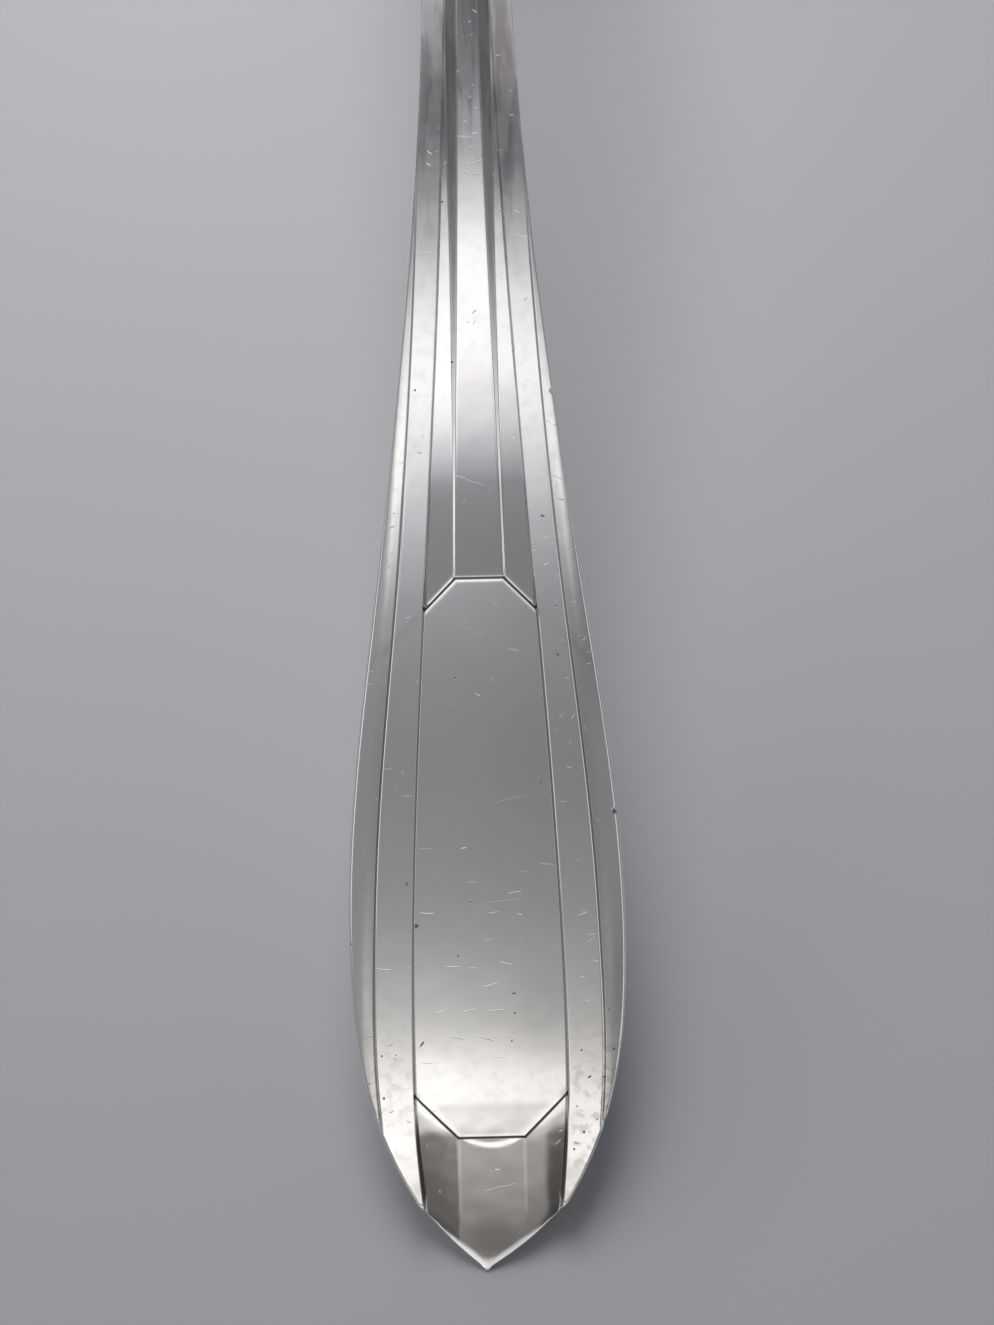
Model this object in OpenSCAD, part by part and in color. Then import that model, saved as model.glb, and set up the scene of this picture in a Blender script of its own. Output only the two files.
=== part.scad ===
// A soup ladle: a deep drawn bowl on a flat foot, and a solid stamped handle whose tongue
// is hard-soldered to the bowl's outer wall.
// Lengths are in millimetres and angles in degrees. The origin is the centre of the foot on
// the table, +Z is up, and the handle runs towards -Y, where its tip rests on the table too.
// The handle's widths are set out by their distance from the tip, measured along its face.

/* [Bowl] */
// Outer diameter of the bowl at its rim
bowl_d = 88; // [76:1:104]
// Height of the bowl from its foot to its rim
bowl_h = 40; // [32:1:48]
// Diameter of the flat foot
foot_d = 26; // [18:1:36]
// Thickness of the bowl's wall
bowl_wall = 1.4; // [1:0.1:2.2]
// Turn of the wall's elliptical curve between foot and rim
wall_turn = 78; // [65:1:86]

/* [Handle path] */
// Distance along the table from the rim to the handle's tip
reach = 212; // [196:1:250]
// Height of the arch above the rim
arch_rise = 17; // [12:1:26]
// Distance along the table from the rim to the top of the arch
arch_out = 24; // [18:1:32]
// Slope of the handle's face at its tip
tip_slope = 30; // [12:1:36]
// Length over which the tip holds its slope
tip_pull = 25; // [10:1:40]
// Length over which the top of the arch stays level
arch_pull = 45; // [25:1:60]

/* [Handle outline] */
// Distance from the tip to the shoulders of the pointed nose
nose_len = 7.3; // [5:0.1:10]
// Width across the shoulders of the nose
nose_w = 15.3; // [12:0.1:19]
// Distance from the tip to the widest place
blade_at = 34.5; // [28:0.5:44]
// Greatest width
blade_w = 28; // [25:0.5:34]
// Distance from the tip to the middle of the long taper
flank_at = 75; // [66:0.5:84]
// Width at the middle of the long taper
flank_w = 19.6; // [17:0.1:23]
// Distance from the tip to the start of the parallel shank
shank_at = 140; // [128:1:150]
// Width of the shank
shank_w = 8.4; // [7:0.1:11]
// Width of the tongue at the rim
tongue_w = 17; // [12:0.5:22]
// Length of the tongue below the rim
tongue_len = 24; // [16:0.5:30]
// Width of the tongue's blunt lower end
tongue_end_w = 4; // [2:0.5:7]
// Length over which the shank widens into the tongue
flare_len = 26; // [18:1:32]

/* [Handle thickness] */
// Thickness at the tip
tip_t = 1.9; // [1.5:0.1:2.4]
// Thickness under the panel
blade_t = 2.8; // [2.4:0.1:3.6]
// Thickness of the shank
shank_t = 4.2; // [3.4:0.1:5.2]
// Thickness where the handle passes the rim
rim_t = 2.8; // [2:0.1:3.6]
// Thickness at the tongue's lower end
tongue_end_t = 1.2; // [0.9:0.1:1.8]
// Rise of the back from its middle to its edges
back_round = 0.4; // [0.1:0.05:0.7]
// Broken edge all round the handle
edge_break = 0.25; // [0.1:0.05:0.35]

/* [Handle relief] */
// Distance from the tip to the near end of the raised panel
panel_from = 13.9; // [12:0.1:17]
// Distance from the tip to the far end of the raised panel
panel_to = 70.3; // [60:0.1:74]
// Height of the panel's edge above the rails
panel_rise = 0.1; // [0:0.05:0.3]
// Crown of the panel across its width
panel_crown = 0.15; // [0:0.05:0.4]
// Greatest width of the centre column between its grooves
column_w = 15.6; // [13:0.1:17]
// Distance from the tip to where the centre column is widest
column_at = 20.5; // [16:0.5:26]
// Width that the centre column loses between there and the tip
column_draw = 3; // [1:0.1:4]
// Width of the centre column at the middle of the long taper
column_flank_w = 10.3; // [9:0.1:12]
// Width of the centre column on the shank
column_shank_w = 4.3; // [3.6:0.1:5]
// Width of the column's flat middle on the nose
rib_nose_w = 6.8; // [5:0.1:8]
// Width of the column's flat middle where it leaves the panel
rib_panel_w = 4.9; // [4:0.1:6]
// Width of the column's flat middle on the shank
rib_shank_w = 1.9; // [1.4:0.1:2.4]
// Depth of the nose's flat middle below the rails
nose_drop = 0.4; // [0.2:0.05:0.6]
// Fall of the nose's side facets from the flat middle to the groove
nose_fall = 0.7; // [0.3:0.05:0.9]
// Depth of the rib below the rails where it leaves the panel
rib_drop = 0.2; // [0.1:0.05:0.4]
// Height of the rib above the rails on the shank
rib_rise = 0.3; // [0:0.05:0.5]
// Height of the rib's sloping sides where it leaves the panel
rib_step = 0.22; // [0.1:0.02:0.4]
// Depth of the channels beside the rib below the rails
channel_depth = 0.65; // [0.5:0.05:0.9]
// Distance from the tip to where the channels run out
channel_end = 120; // [112:1:126]
// Width of the two pairs of grooves
groove_w = 0.45; // [0.3:0.05:0.7]
// Depth of the two pairs of grooves
groove_depth = 0.25; // [0.1:0.05:0.4]
// Greatest width of the outer bevels
bevel_w = 2.8; // [2:0.1:3.4]
// Fall of the outer bevels at their greatest width
bevel_fall = 0.8; // [0.4:0.05:1]
// Distance from the tip to where the bevels begin
bevel_from = 14; // [12:0.5:20]
// Distance from the tip to where the bevels are widest
bevel_at = 43; // [36:0.5:52]
// Distance from the tip to where the bevels run out
bevel_to = 107; // [96:0.5:116]
// Fall of the rails' ends beside the nose
rail_end_fall = 1.6; // [0.8:0.1:1.8]
// Distance from the tip to where the rails' ends begin to fall
rail_flat_at = 22; // [18:0.5:28]
// Distance from the tip to where the relief has faded into the plain shank
relief_to = 180; // [165:1:188]
// Length over which the relief fades
relief_fade = 30; // [15:1:34]

/* [Solder] */
// Thickness of the solder film between tongue and bowl
solder_film = 0.15; // [0.1:0.05:0.3]
// Leg of the solder fillet round the tongue
solder_fillet = 0.9; // [0.5:0.1:1.1]

/* [Hidden] */
silver = "#cfcdc8";
solder_grey = "#b9b8b4";

// The bowl's wall is part of an ellipse that starts level at the foot's edge.
wall_a = (bowl_d / 2 - foot_d / 2) / sin(wall_turn);
wall_b = bowl_h / (1 - cos(wall_turn));
wall_steps = 18;
lip_steps = 6;

// Small distances: from the point to the first section, between lines that run together, across
// the panel's stepped ends, and along the search for the panel's corners.
tip_start = 0.5;
line_gap = 0.12;
side_step = 0.15;
corner_step = 0.05;

// Lines across half the face, from the rib's edge to the broken edge of the handle.
face_lines = 11;

// Fullness of the curves along the handle: slope at a key place over the mean slope beside it,
// and the share of a taper's slope that is left where the shank begins.
tip_fullness = 1.38;
nose_fullness = 2.65;
taper_fullness = 1.5;
column_fullness = 1.28;
draw_fullness = 1.4;
bevel_rise_fullness = 2.6;
bevel_fade_fullness = 0.7;
shank_ease = 0.3;

// The face's path in the YZ plane: tip to arch, arch to rim, then down the bowl's wall.
handle_steps = 80;
neck_steps = 30;
tongue_steps = 30;
rim_pull = 0.55;
tip_rest_t = tip_t + (blade_t - tip_t) * tip_start / blade_at;
tip_point = [
    -bowl_d / 2 - reach,
    tip_rest_t * cos(tip_slope) - tip_start * sin(tip_slope)
];
arch_point = [-bowl_d / 2 - arch_out, bowl_h + arch_rise];
rim_point = wall_point(wall_turn, solder_film);
handle_curve = [
    tip_point,
    tip_point + tip_pull * [cos(tip_slope), sin(tip_slope)],
    arch_point - [arch_pull, 0],
    arch_point
];
neck_curve = [
    arch_point,
    arch_point + [rim_pull * arch_out, 0],
    rim_point + rim_pull * arch_rise * wall_up(wall_turn),
    rim_point
];
path = concat(
    [for (i = [0 : handle_steps - 1]) bezier(handle_curve, i / handle_steps)],
    [for (i = [0 : neck_steps - 1]) bezier(neck_curve, i / neck_steps)],
    [for (i = [0 : tongue_steps]) wall_point(wall_turn * (1 - i / tongue_steps), solder_film)]
);
path_last = len(path) - 1;
path_steps = [for (i = [0 : path_last]) i == 0 ? 0 : norm(path[i] - path[i - 1])];
path_at = running_sum(path_steps);
path_y = [for (i = [0 : path_last]) [path_at[i], path[i][0]]];
path_z = [for (i = [0 : path_last]) [path_at[i], path[i][1]]];
path_heading = [for (i = [0 : path_last]) [path_at[i], heading(i)]];
arch_at = path_at[handle_steps];
rim_at = path_at[handle_steps + neck_steps];
handle_end = rim_at + tongue_len;

// Half widths along the handle, as keys of [distance from the tip, half width, slope].
nose_slope = nose_fullness * (blade_w - nose_w) / 2 / (blade_at - nose_len);
flank_slope = -taper_fullness * (blade_w - shank_w) / 2 / (shank_at - blade_at);
outline_keys = [
    [0, 0, tip_fullness * nose_w / 2 / nose_len],
    [nose_len, nose_w / 2, nose_slope],
    [blade_at, blade_w / 2, 0],
    [flank_at, flank_w / 2, flank_slope],
    [shank_at, shank_w / 2, 0],
    [rim_at - flare_len, shank_w / 2, 0],
    [rim_at, tongue_w / 2, 0],
    [handle_end, tongue_end_w / 2, -tongue_w / tongue_len]
];
column_slope = -column_fullness * (column_w - column_shank_w) / 2 / (shank_at - blade_at);
column_keys = [
    [0, (column_w - column_draw) / 2, draw_fullness * column_draw / 2 / column_at],
    [column_at, column_w / 2, 0],
    [flank_at, column_flank_w / 2, column_slope],
    [shank_at, column_shank_w / 2, shank_ease * column_slope],
    [handle_end, column_shank_w / 2, 0]
];
rib_slope = -taper_fullness * (rib_panel_w - rib_shank_w) / 2 / (shank_at - panel_to);
rib_keys = [
    [0, rib_nose_w / 2, 0],
    [panel_from, rib_nose_w / 2, 0],
    [panel_to, rib_panel_w / 2, rib_slope],
    [shank_at, rib_shank_w / 2, shank_ease * rib_slope],
    [handle_end, rib_shank_w / 2, 0]
];
bevel_keys = [
    [bevel_from, 0, bevel_rise_fullness * bevel_w / (bevel_at - bevel_from)],
    [bevel_at, bevel_w, 0],
    [bevel_to, 0, -bevel_fade_fullness * bevel_w / (bevel_to - bevel_at)]
];

// Heights of the face above the rails, as keys of [distance from the tip, height].
rib_heights = [
    [panel_from, -nose_drop],
    [panel_to, -rib_drop],
    [channel_end, rib_rise]
];
foot_heights = [
    [panel_from, -nose_drop],
    [panel_to, -rib_drop - rib_step],
    [channel_end, -channel_depth]
];
groove_heights = [
    [panel_from, -nose_drop - nose_fall],
    [panel_to, -channel_depth],
    [channel_end, -channel_depth]
];
thicknesses = [
    [0, tip_t],
    [blade_at, blade_t],
    [flank_at, blade_t],
    [channel_end, shank_t],
    [rim_at - flare_len, shank_t],
    [rim_at, rim_t],
    [handle_end, tongue_end_t]
];

// Places along the handle where its section is drawn.
panel_near_corner = corner_at(panel_from, 1);
panel_far_corner = corner_at(panel_to, -1);
stations = concat(
    spread(tip_start, panel_from - side_step, 13),
    [panel_from - side_step],
    spread(panel_from, panel_near_corner, 4),
    [panel_near_corner],
    spread(panel_near_corner + side_step, panel_far_corner - side_step, 13),
    [panel_far_corner - side_step],
    spread(panel_far_corner, panel_to, 3),
    [panel_to],
    spread(panel_to + side_step, relief_to - relief_fade, 20),
    spread(relief_to - relief_fade, arch_at, 6),
    spread(arch_at, rim_at, 11),
    spread(rim_at, handle_end, 8),
    [handle_end]
);

function clamp(v, low, high) = min(max(v, low), high);

function running_sum(v) = [
    for (i = 0, total = v[0]; i < len(v); i = i + 1, total = total + (i < len(v) ? v[i] : 0))
        total
];

function spread(from, to, count) = [for (i = [0 : count - 1]) from + (to - from) * i / count];

function bezier(p, t) =
    pow(1 - t, 3) * p[0] + 3 * pow(1 - t, 2) * t * p[1]
    + 3 * (1 - t) * t * t * p[2] + pow(t, 3) * p[3];

// Cubic between two keys, then a chain of keys.
function between(a, b, s) =
    let (l = b[0] - a[0], u = (s - a[0]) / l, v = 1 - u)
    a[1] * (1 + 2 * u) * v * v + a[2] * l * u * v * v
    + b[1] * (1 + 2 * v) * u * u - b[2] * l * u * u * v;

function along(keys, s, i = 0) =
    i >= len(keys) - 2 || s < keys[i + 1][0]
        ? between(keys[i], keys[i + 1], s)
        : along(keys, s, i + 1);

// The bowl's outer wall at an angle of its ellipse, offset outwards, as [Y, Z] on the handle's side.
function wall_out(turn) =
    let (n = [wall_b * sin(turn), wall_a * cos(turn)]) [-n[0], -n[1]] / norm(n);
function wall_up(turn) = [wall_out(turn)[1], -wall_out(turn)[0]];
function wall_point(turn, offset) =
    [-foot_d / 2 - wall_a * sin(turn), wall_b * (1 - cos(turn))] + offset * wall_out(turn);

function heading(i) =
    let (d = path[min(i + 1, path_last)] - path[max(i - 1, 0)]) atan2(d[1], d[0]);

function outline(s) = along(outline_keys, min(s, handle_end));
function column(s) = along(column_keys, s);
function rib(s) = along(rib_keys, s);
function bevel(s) = s <= bevel_from || s >= bevel_to ? 0 : along(bevel_keys, s);

// How far the relief still stands, and how closely the face follows the bowl's round wall.
function relief(s) = clamp((relief_to - s) / relief_fade, 0, 1);
function wrap(s) = clamp((s - arch_at) / (rim_at - arch_at), 0, 1);

// Chamfered ends of the panel, cut at 45 degrees from the corners of the column's flat middle.
function panel_half(s) = min(
    rib(panel_from) + s - panel_from,
    rib(panel_to) + panel_to - s
);
function panel_limit(s) = column(s) - groove_w / 2;
function corner_at(from, way, run = 0) =
    rib(from) + run >= panel_limit(from + way * run)
        ? from + way * run
        : corner_at(from, way, run + corner_step);
function on_panel(s) = s >= panel_from && s <= panel_to;
function full_panel(s) = s > panel_near_corner && s < panel_far_corner;
function panel_height(x) = panel_rise + panel_crown * (1 - pow(2 * x / column_w, 2));

// Lines across the face, held in order and apart where they run together near the edge. Where
// the relief fades, the lines inside the edge spread evenly instead.
function eased(lines, w, up) = [
    for (i = [0 : len(lines) - 1])
        i == len(lines) - 1 ? lines[i] : up * lines[i] + (1 - up) * w * (i + 1) / (len(lines) + 1)
];
function fitted(lines, w, gap, i) = min(lines[i], w - (len(lines) + 1 - i) * gap);
function in_order(lines, w, gap) = [
    for (
        i = 0, x = fitted(lines, w, gap, 0);
        i < len(lines);
        i = i + 1, x = i < len(lines) ? max(fitted(lines, w, gap, i), x + gap / 2) : x
    )
        x
];

// Half of the section at a place, from the middle of the face round the edge to the middle of
// the back, as [distance from the midline, height above the rails].
function half_section(s) =
    let (
        w = outline(s),
        gap = min(line_gap, w / (3 * face_lines)),
        lip = groove_w / 2,
        up = relief(s),
        on = on_panel(s),
        full = full_panel(s),
        rib_height = up * lookup(s, rib_heights),
        foot_height = up * lookup(s, foot_heights),
        groove_height = up * lookup(s, groove_heights),
        t = lookup(s, thicknesses),
        rails_on = clamp((w - column(s)) / (2 * groove_w), 0, 1),
        rail_end = rail_end_fall * pow(1 - min(s / rail_flat_at, 1), 2),
        rib_half = on ? min(rib(s), panel_half(s) - 2 * gap) : rib(s),
        rib_foot = rib_half + rib_height - foot_height,
        column_lip = min(column(s) - lip, w - face_lines * gap),
        side_room = column_lip - rib_foot,
        panel_edge = full ? column_lip - gap : panel_half(s),
        lines = [
            rib_half,
            on ? rib_half + gap / 2 : rib_foot,
            on ? panel_edge - gap / 2 : rib_foot + side_room / 3,
            on ? panel_edge + gap / 2 : rib_foot + side_room * 2 / 3,
            column_lip,
            column(s),
            column(s) + lip,
            w - bevel(s) - lip,
            w - bevel(s),
            w - bevel(s) + lip,
            w - edge_break
        ],
        x = in_order(eased(lines, w, up), w, gap),
        facet_run = max(column(s) - x[1], gap),
        facet = [
            for (v = x)
                foot_height + (groove_height - foot_height) * clamp((v - x[1]) / facet_run, 0, 1)
        ],
        rail = -rail_end * rails_on + (1 - rails_on) * facet[5],
        inside = full ? panel_rise : facet[5],
        inner_cut = groove_depth * up * rails_on,
        outer_cut = groove_depth * clamp(bevel(s) / groove_w, 0, 1),
        edge_height = rail - bevel_fall * bevel(s) / bevel_w,
        side = max(edge_height + t - back_round, edge_break * 2),
        edge = min(w - x[face_lines - 1], side / 3)
    )
    [
        [0, on ? panel_height(0) : rib_height],
        [x[0], on ? panel_height(x[0]) : rib_height],
        [x[1], on ? panel_height(x[1]) : foot_height],
        [x[2], on ? panel_height(x[2]) : facet[2]],
        [x[3], full ? panel_height(x[3]) : facet[3]],
        [x[4], full ? panel_height(x[4]) : facet[4]],
        [x[5], min(rail, inside) - inner_cut],
        [x[6], rail],
        [x[7], rail],
        [x[8], rail - outer_cut],
        [x[9], rail - outer_cut / 3],
        [x[10], edge_height],
        [w, edge_height - edge],
        [w, edge_height - side + edge],
        [w - edge, edge_height - side],
        [w / 2, -t + back_round / 4],
        [0, -t]
    ];

// A point of the handle or the solder, from its place along the path, its distance from the
// midline and its height above the face. On the neck the face bends round the bowl's axis.
function placed(s, x, h) =
    let (
        y = lookup(s, path_y),
        a = lookup(s, path_heading),
        k = max(wrap(s), 0.0001),
        r = -y / k,
        turn = x / r * 180 / PI
    )
    [
        r * sin(turn) + h * sin(a) * sin(turn),
        y + r * (1 - cos(turn)) - h * sin(a) * cos(turn),
        lookup(s, path_z) + h * cos(a)
    ];

// The whole ring of a section, and faces that close its ends or join it to the next ring.
function mirrored(half) = [for (i = [len(half) - 2 : -1 : 1]) [-half[i][0], half[i][1]]];
function whole_section(s) = let (half = half_section(s)) concat(half, mirrored(half));
function ring_faces(rings, count) = [
    for (i = [0 : rings - 2], j = [0 : count - 1])
        let (a = i * count + j, b = i * count + (j + 1) % count)
        each [[a, a + count, b], [b, a + count, b + count]]
];
function far_cap(near_cap, first) = [for (f = near_cap) [first + f[0], first + f[2], first + f[1]]];

module bowl() {
    outer = [for (i = [0 : wall_steps]) wall_point(wall_turn * i / wall_steps, 0)];
    inner = [for (i = [wall_steps : -1 : 0]) wall_point(wall_turn * i / wall_steps, -bowl_wall)];
    lip_centre = wall_point(wall_turn, -bowl_wall / 2);
    lip = [
        for (i = [1 : lip_steps - 1])
            let (a = 180 * i / lip_steps)
            lip_centre + bowl_wall / 2
                * (cos(a) * wall_out(wall_turn) + sin(a) * wall_up(wall_turn))
    ];
    profile = concat([[0, 0]], outer, lip, inner, [[0, bowl_wall]]);
    color(silver) rotate_extrude($fn = 128) polygon([for (p = profile) [-p[0], p[1]]]);
}

module handle() {
    count = len(whole_section(tip_start));
    rings = len(stations);
    points = [for (s = stations, p = whole_section(s)) placed(s, p[0], p[1])];
    back = len(half_section(tip_start)) - 1;
    near_cap = [
        for (j = [0 : count - 1])
            if (j != back && j + 1 != back)
                [back, j, (j + 1) % count]
    ];
    caps = concat(near_cap, far_cap(near_cap, (rings - 1) * count));
    color(silver) polyhedron(points, concat(caps, ring_faces(rings, count)));
}

// The solder is a film that fills the gap behind the tongue, with a fillet round its edge. Each
// row is [place, half width on the bowl, half width of the tongue, fillet's foot, film's face].
module solder_seam() {
    across = 8;
    end_half = tongue_end_w / 2;
    toe = solder_film / 3;
    rows = concat(
        [
            for (s = concat(spread(rim_at + solder_film, handle_end, 9), [handle_end]))
                [s, outline(s) + solder_fillet, outline(s), -solder_fillet, 0]
        ],
        [
            [
                handle_end + corner_step,
                end_half + solder_fillet,
                end_half,
                -solder_fillet,
                corner_step - solder_fillet
            ],
            [handle_end + solder_fillet, end_half, end_half / 2, toe, toe]
        ]
    );
    points = [
        for (row = rows)
            each concat(
                [for (j = [0 : across]) placed(row[0], row[1] * (2 * j / across - 1), solder_film)],
                [placed(row[0], row[2], row[3])],
                [for (j = [0 : across]) placed(row[0], row[2] * (1 - 2 * j / across), row[4])],
                [placed(row[0], -row[2], row[3])]
            )
    ];
    count = 2 * across + 4;
    film_end = 2 * across + 2;
    near_cap = concat(
        [[0, film_end, count - 1], [across, across + 1, across + 2]],
        [
            for (j = [0 : across - 1])
                each [[j, j + 1, film_end - j], [j + 1, film_end - j - 1, film_end - j]]
        ]
    );
    caps = concat(near_cap, far_cap(near_cap, (len(rows) - 1) * count));
    color(solder_grey) polyhedron(points, concat(caps, ring_faces(len(rows), count)));
}

bowl();
handle();
solder_seam();
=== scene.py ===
"""Looks of a silver-plated soup ladle: its struck handle, drawn bowl and solder seam.

Lengths are in millimetres until a mesh is made. The frame is the solids' own: the origin is the
centre of the bowl's foot, +Z is up, and the handle runs towards -Y, where its tip rests.
"""

import math

import bpy
import numpy as np
from mathutils import Matrix, Vector


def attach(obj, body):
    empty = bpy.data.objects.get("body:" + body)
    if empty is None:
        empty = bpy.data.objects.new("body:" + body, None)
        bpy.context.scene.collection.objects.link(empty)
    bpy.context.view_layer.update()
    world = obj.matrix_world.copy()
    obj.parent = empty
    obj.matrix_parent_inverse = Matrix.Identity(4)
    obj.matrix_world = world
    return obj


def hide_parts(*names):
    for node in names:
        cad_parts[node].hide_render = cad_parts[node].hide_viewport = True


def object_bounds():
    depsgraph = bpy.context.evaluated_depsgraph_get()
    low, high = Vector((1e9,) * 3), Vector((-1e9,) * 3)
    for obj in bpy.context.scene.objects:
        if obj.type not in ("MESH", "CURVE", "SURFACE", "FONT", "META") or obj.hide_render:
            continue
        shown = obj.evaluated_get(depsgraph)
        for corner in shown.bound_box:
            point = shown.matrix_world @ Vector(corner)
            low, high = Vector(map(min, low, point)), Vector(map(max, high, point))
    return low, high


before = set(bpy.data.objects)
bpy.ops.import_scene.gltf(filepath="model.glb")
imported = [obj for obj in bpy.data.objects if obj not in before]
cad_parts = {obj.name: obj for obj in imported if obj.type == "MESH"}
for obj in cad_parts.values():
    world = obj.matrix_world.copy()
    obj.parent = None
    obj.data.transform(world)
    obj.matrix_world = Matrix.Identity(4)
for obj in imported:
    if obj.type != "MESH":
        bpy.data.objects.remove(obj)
cad_low, cad_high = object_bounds()

MM = 0.001

# Bowl
BOWL_D = 88.0
BOWL_H = 40.0
FOOT_D = 26.0
BOWL_WALL = 1.4
WALL_TURN = math.radians(78)
WALL_A = (BOWL_D - FOOT_D) / 2 / math.sin(WALL_TURN)
WALL_B = BOWL_H / (1 - math.cos(WALL_TURN))
WALL_STEPS = 70
LIP_STEPS = 16
FOOT_STEPS = 14
BOWL_SIDES = 240

# Path of the handle's face
REACH = 212.0
ARCH_RISE = 17.0
ARCH_OUT = 24.0
TIP_SLOPE = math.radians(30)
TIP_PULL = 25.0
ARCH_PULL = 45.0
RIM_PULL = 0.55
TIP_Z = 1.407
SOLDER_FILM = 0.15
PATH_STEPS = 1500
LEAST_WRAP = 0.0001

# Outline of the handle
NOSE_LEN = 7.3
NOSE_W = 15.3
TIP_LENGTHEN = 0.5
TIP_ASIDE = -0.8
TIP_ASIDE_LEN = 8.0
BLADE_AT = 34.5
BLADE_W = 28.0
FLANK_AT = 75.0
FLANK_W = 19.6
SHANK_AT = 140.0
SHANK_W = 9.2
TONGUE_W = 17.0
TONGUE_LEN = 24.0
TONGUE_END_W = 4.0
TONGUE_ROUND = 3.0
FLARE_LEN = 26.0
EDGE_R = 0.38
SHANK_EDGE_R = 0.2
BACK_EDGE_R = 0.3
BACK_ROUND = 0.4
LEAST_SIDE = 0.2
EDGE_SHARE = 0.35
RAIL_EDGE_SHARE = 0.5
LEAST_EDGE_R = 0.08
EDGE_THINS = (62, 84)
EDGE_PROBE = 0.06
MOST_LEAN = 1.1
EDGE_STEPS = 8
SIDE_STEPS = 2
ARC_STEPS = 6
BACK_STEPS = 10

# Relief on the face: a pair is where a soft step starts and where it ends
PANEL_FROM = 14.1
PANEL_TO = 70.3
PANEL_RISE = 0.1
PANEL_CROWN = 0.15
PANEL_LEAN_AT = 23.0
PANEL_LEAN = 0.012
PANEL_LEAN_SOFT = 3.0
PANEL_END_AT = 17.8
PANEL_END_FALL = 0.036
PANEL_END_SOFT = 0.6
LIP_FLAT = 0.011
LIP_FLAT_LEN = 0.45
LIP_CUT = 0.024
LIP_CUT_LEN = 0.85
PANEL_FAR_ROLL = 0.036
PANEL_FAR_LEN = 0.44
PANEL_FAR_FLAT = 0.12
NEAR_STEP_SOFT = 0.06
FAR_STEP_SOFT = 0.1
COLUMN_W = 15.35
COLUMN_AT = 20.5
COLUMN_DRAW = 3.0
COLUMN_FLANK_W = 10.3
COLUMN_SHANK_W = 4.3
RIB_NOSE_W = 6.65
RIB_PANEL_W = 4.9
RIB_SHANK_W = 1.9
RIB_EDGE_R = 0.12
LEAST_RUN = 0.1
NOSE_DROP = 0.2
NOSE_TILT = 0.06
FACET_SLOPE = 0.07
FACET_TURN_AT = 0.57
FACET_TURN = 0.06
FACET_EDGE_R = 0.15
FACET_TURN_R = 0.7
NOSE_RIM = 0.13
NOSE_RIM_LEN = 1.55
NOSE_RIM_ON = (6.5, 1.5)
HOLLOW = 0.092
HOLLOW_LEN = 1.15
HOLLOW_RIM = 0.42
HOLLOW_SOFT = 0.06
HOLLOW_RIM_SOFT = 0.12
WEDGE = 0.08
WEDGE_LEN = 1.2
WEDGE_LEAST = 0.2
FAR_FILLET = 0.055
FAR_FILLET_LEN = 0.42
CUT_FILLET = 0.11
CUT_FILLET_LEN = 0.6
CUT_FILLET_ON = (-0.1, 0.3)
CHANNEL_FALL = 0.06
GROOVE_HALF = 0.12
GROOVE_DEPTH = 0.18
GROOVE_BOTTOM_R = 0.04
GROOVE_SHOULDER = 0.25
INNER_GROOVE_ON = (9, 16)
WALL_SOFT = 0.09
WALL_ON = (0.25, 1.2)
EDGE_CUT = 0.15
EDGE_CUT_SLOPE = 0.55
EDGE_CUT_SOFT = 0.03
LEFT_EDGE_CUT = 0.5
PANEL_CUT_ON = (14, 18)
PANEL_CUT_OFF = (68, 66)
BEVEL_CUT_OFF = (84, 70)
BEVEL_W = 2.8
BEVEL_SLOPE = 0.19
BEVEL_SOFT = 0.05
BEVEL_ROLL = 0.15
BEVEL_ROLL_AT = 0.9
BEVEL_ROLL_SOFT = 0.4
BEVEL_FADE = 0.6
BEVEL_FROM = 14.0
BEVEL_AT = 43.0
BEVEL_TO = 117.0
RAIL_END_RISE = 0.15
RAIL_FLAT_AT = 22.0
RAIL_TIP_FALL = 0.5
RAIL_TIP_W = 0.7
RAIL_TIP_SOFT = 0.06
RAIL_FADE = 0.4
RELIEF_TO = 205.0
RELIEF_FADE = 60.0

# Tarnished grooves, painted shade at the panel's steps, walls and corners, on the rib's sides and on the
# bevels, and polished places of the face
NEAR_FOOT_ON = (-0.32, -0.22)
NEAR_FOOT_TO = 0.02
FAR_FOOT_ON = (-0.2, -0.12)
FAR_FOOT_OFF = (0.24, 0.14)
CORNER_SHADE = 0.12
RIB_WALL_DARK = 0.5
RIB_WALL_SOFT = 0.12
RIB_WALL_ON = (98, 116)
NOSE_WALL_ASIDE = (0.24, 0.12)
NOSE_WALL_ON = (17, 13)
UNDER_EDGE = 0.3
UNDER_EDGE_LEN = 1.4
UNDER_EDGE_ON = (18, 30)
UNDER_EDGE_OFF = (72, 58)
INNER_DARK = 1.4
OUTER_DARK = 1.7
BRIGHT_LEN = 0.9

# Dents in the right edge: distance from the tip, half length and depth
NICKS = [(89.3, 0.45, 0.3), (46.6, 0.35, 0.32)]

# Solder fillet round the tongue
SOLDER_FILLET = 0.9
SEAM_BELOW_RIM = 0.3
SEAM_STEP = 0.6
SEAM_END_STEPS = 24
FILLET_STEPS = 8
SEAM_UNDER = 0.3
SEAM_SUNK = 0.5

# Camera of the photograph: it looks almost square at the face from above this place
CAMERA_OVER = 61.7
CAMERA_AWAY = 142.0
CAMERA_ASIDE = 1.6
CAMERA_TILT = math.radians(2.4)
CAMERA_ROLL = math.radians(1.31)
CAMERA_LENS = 38.3
CAMERA_SENSOR = 36.0
CAMERA_NEAR = 5.0
CAMERA_FAR = 20000.0


# Curves and soft steps
def bezier(p0, p1, p2, p3, t):
    """Points of a cubic curve."""
    t = t[:, None]
    v = 1 - t
    return v**3 * p0 + 3 * v * v * t * p1 + 3 * v * t * t * p2 + t**3 * p3


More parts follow.
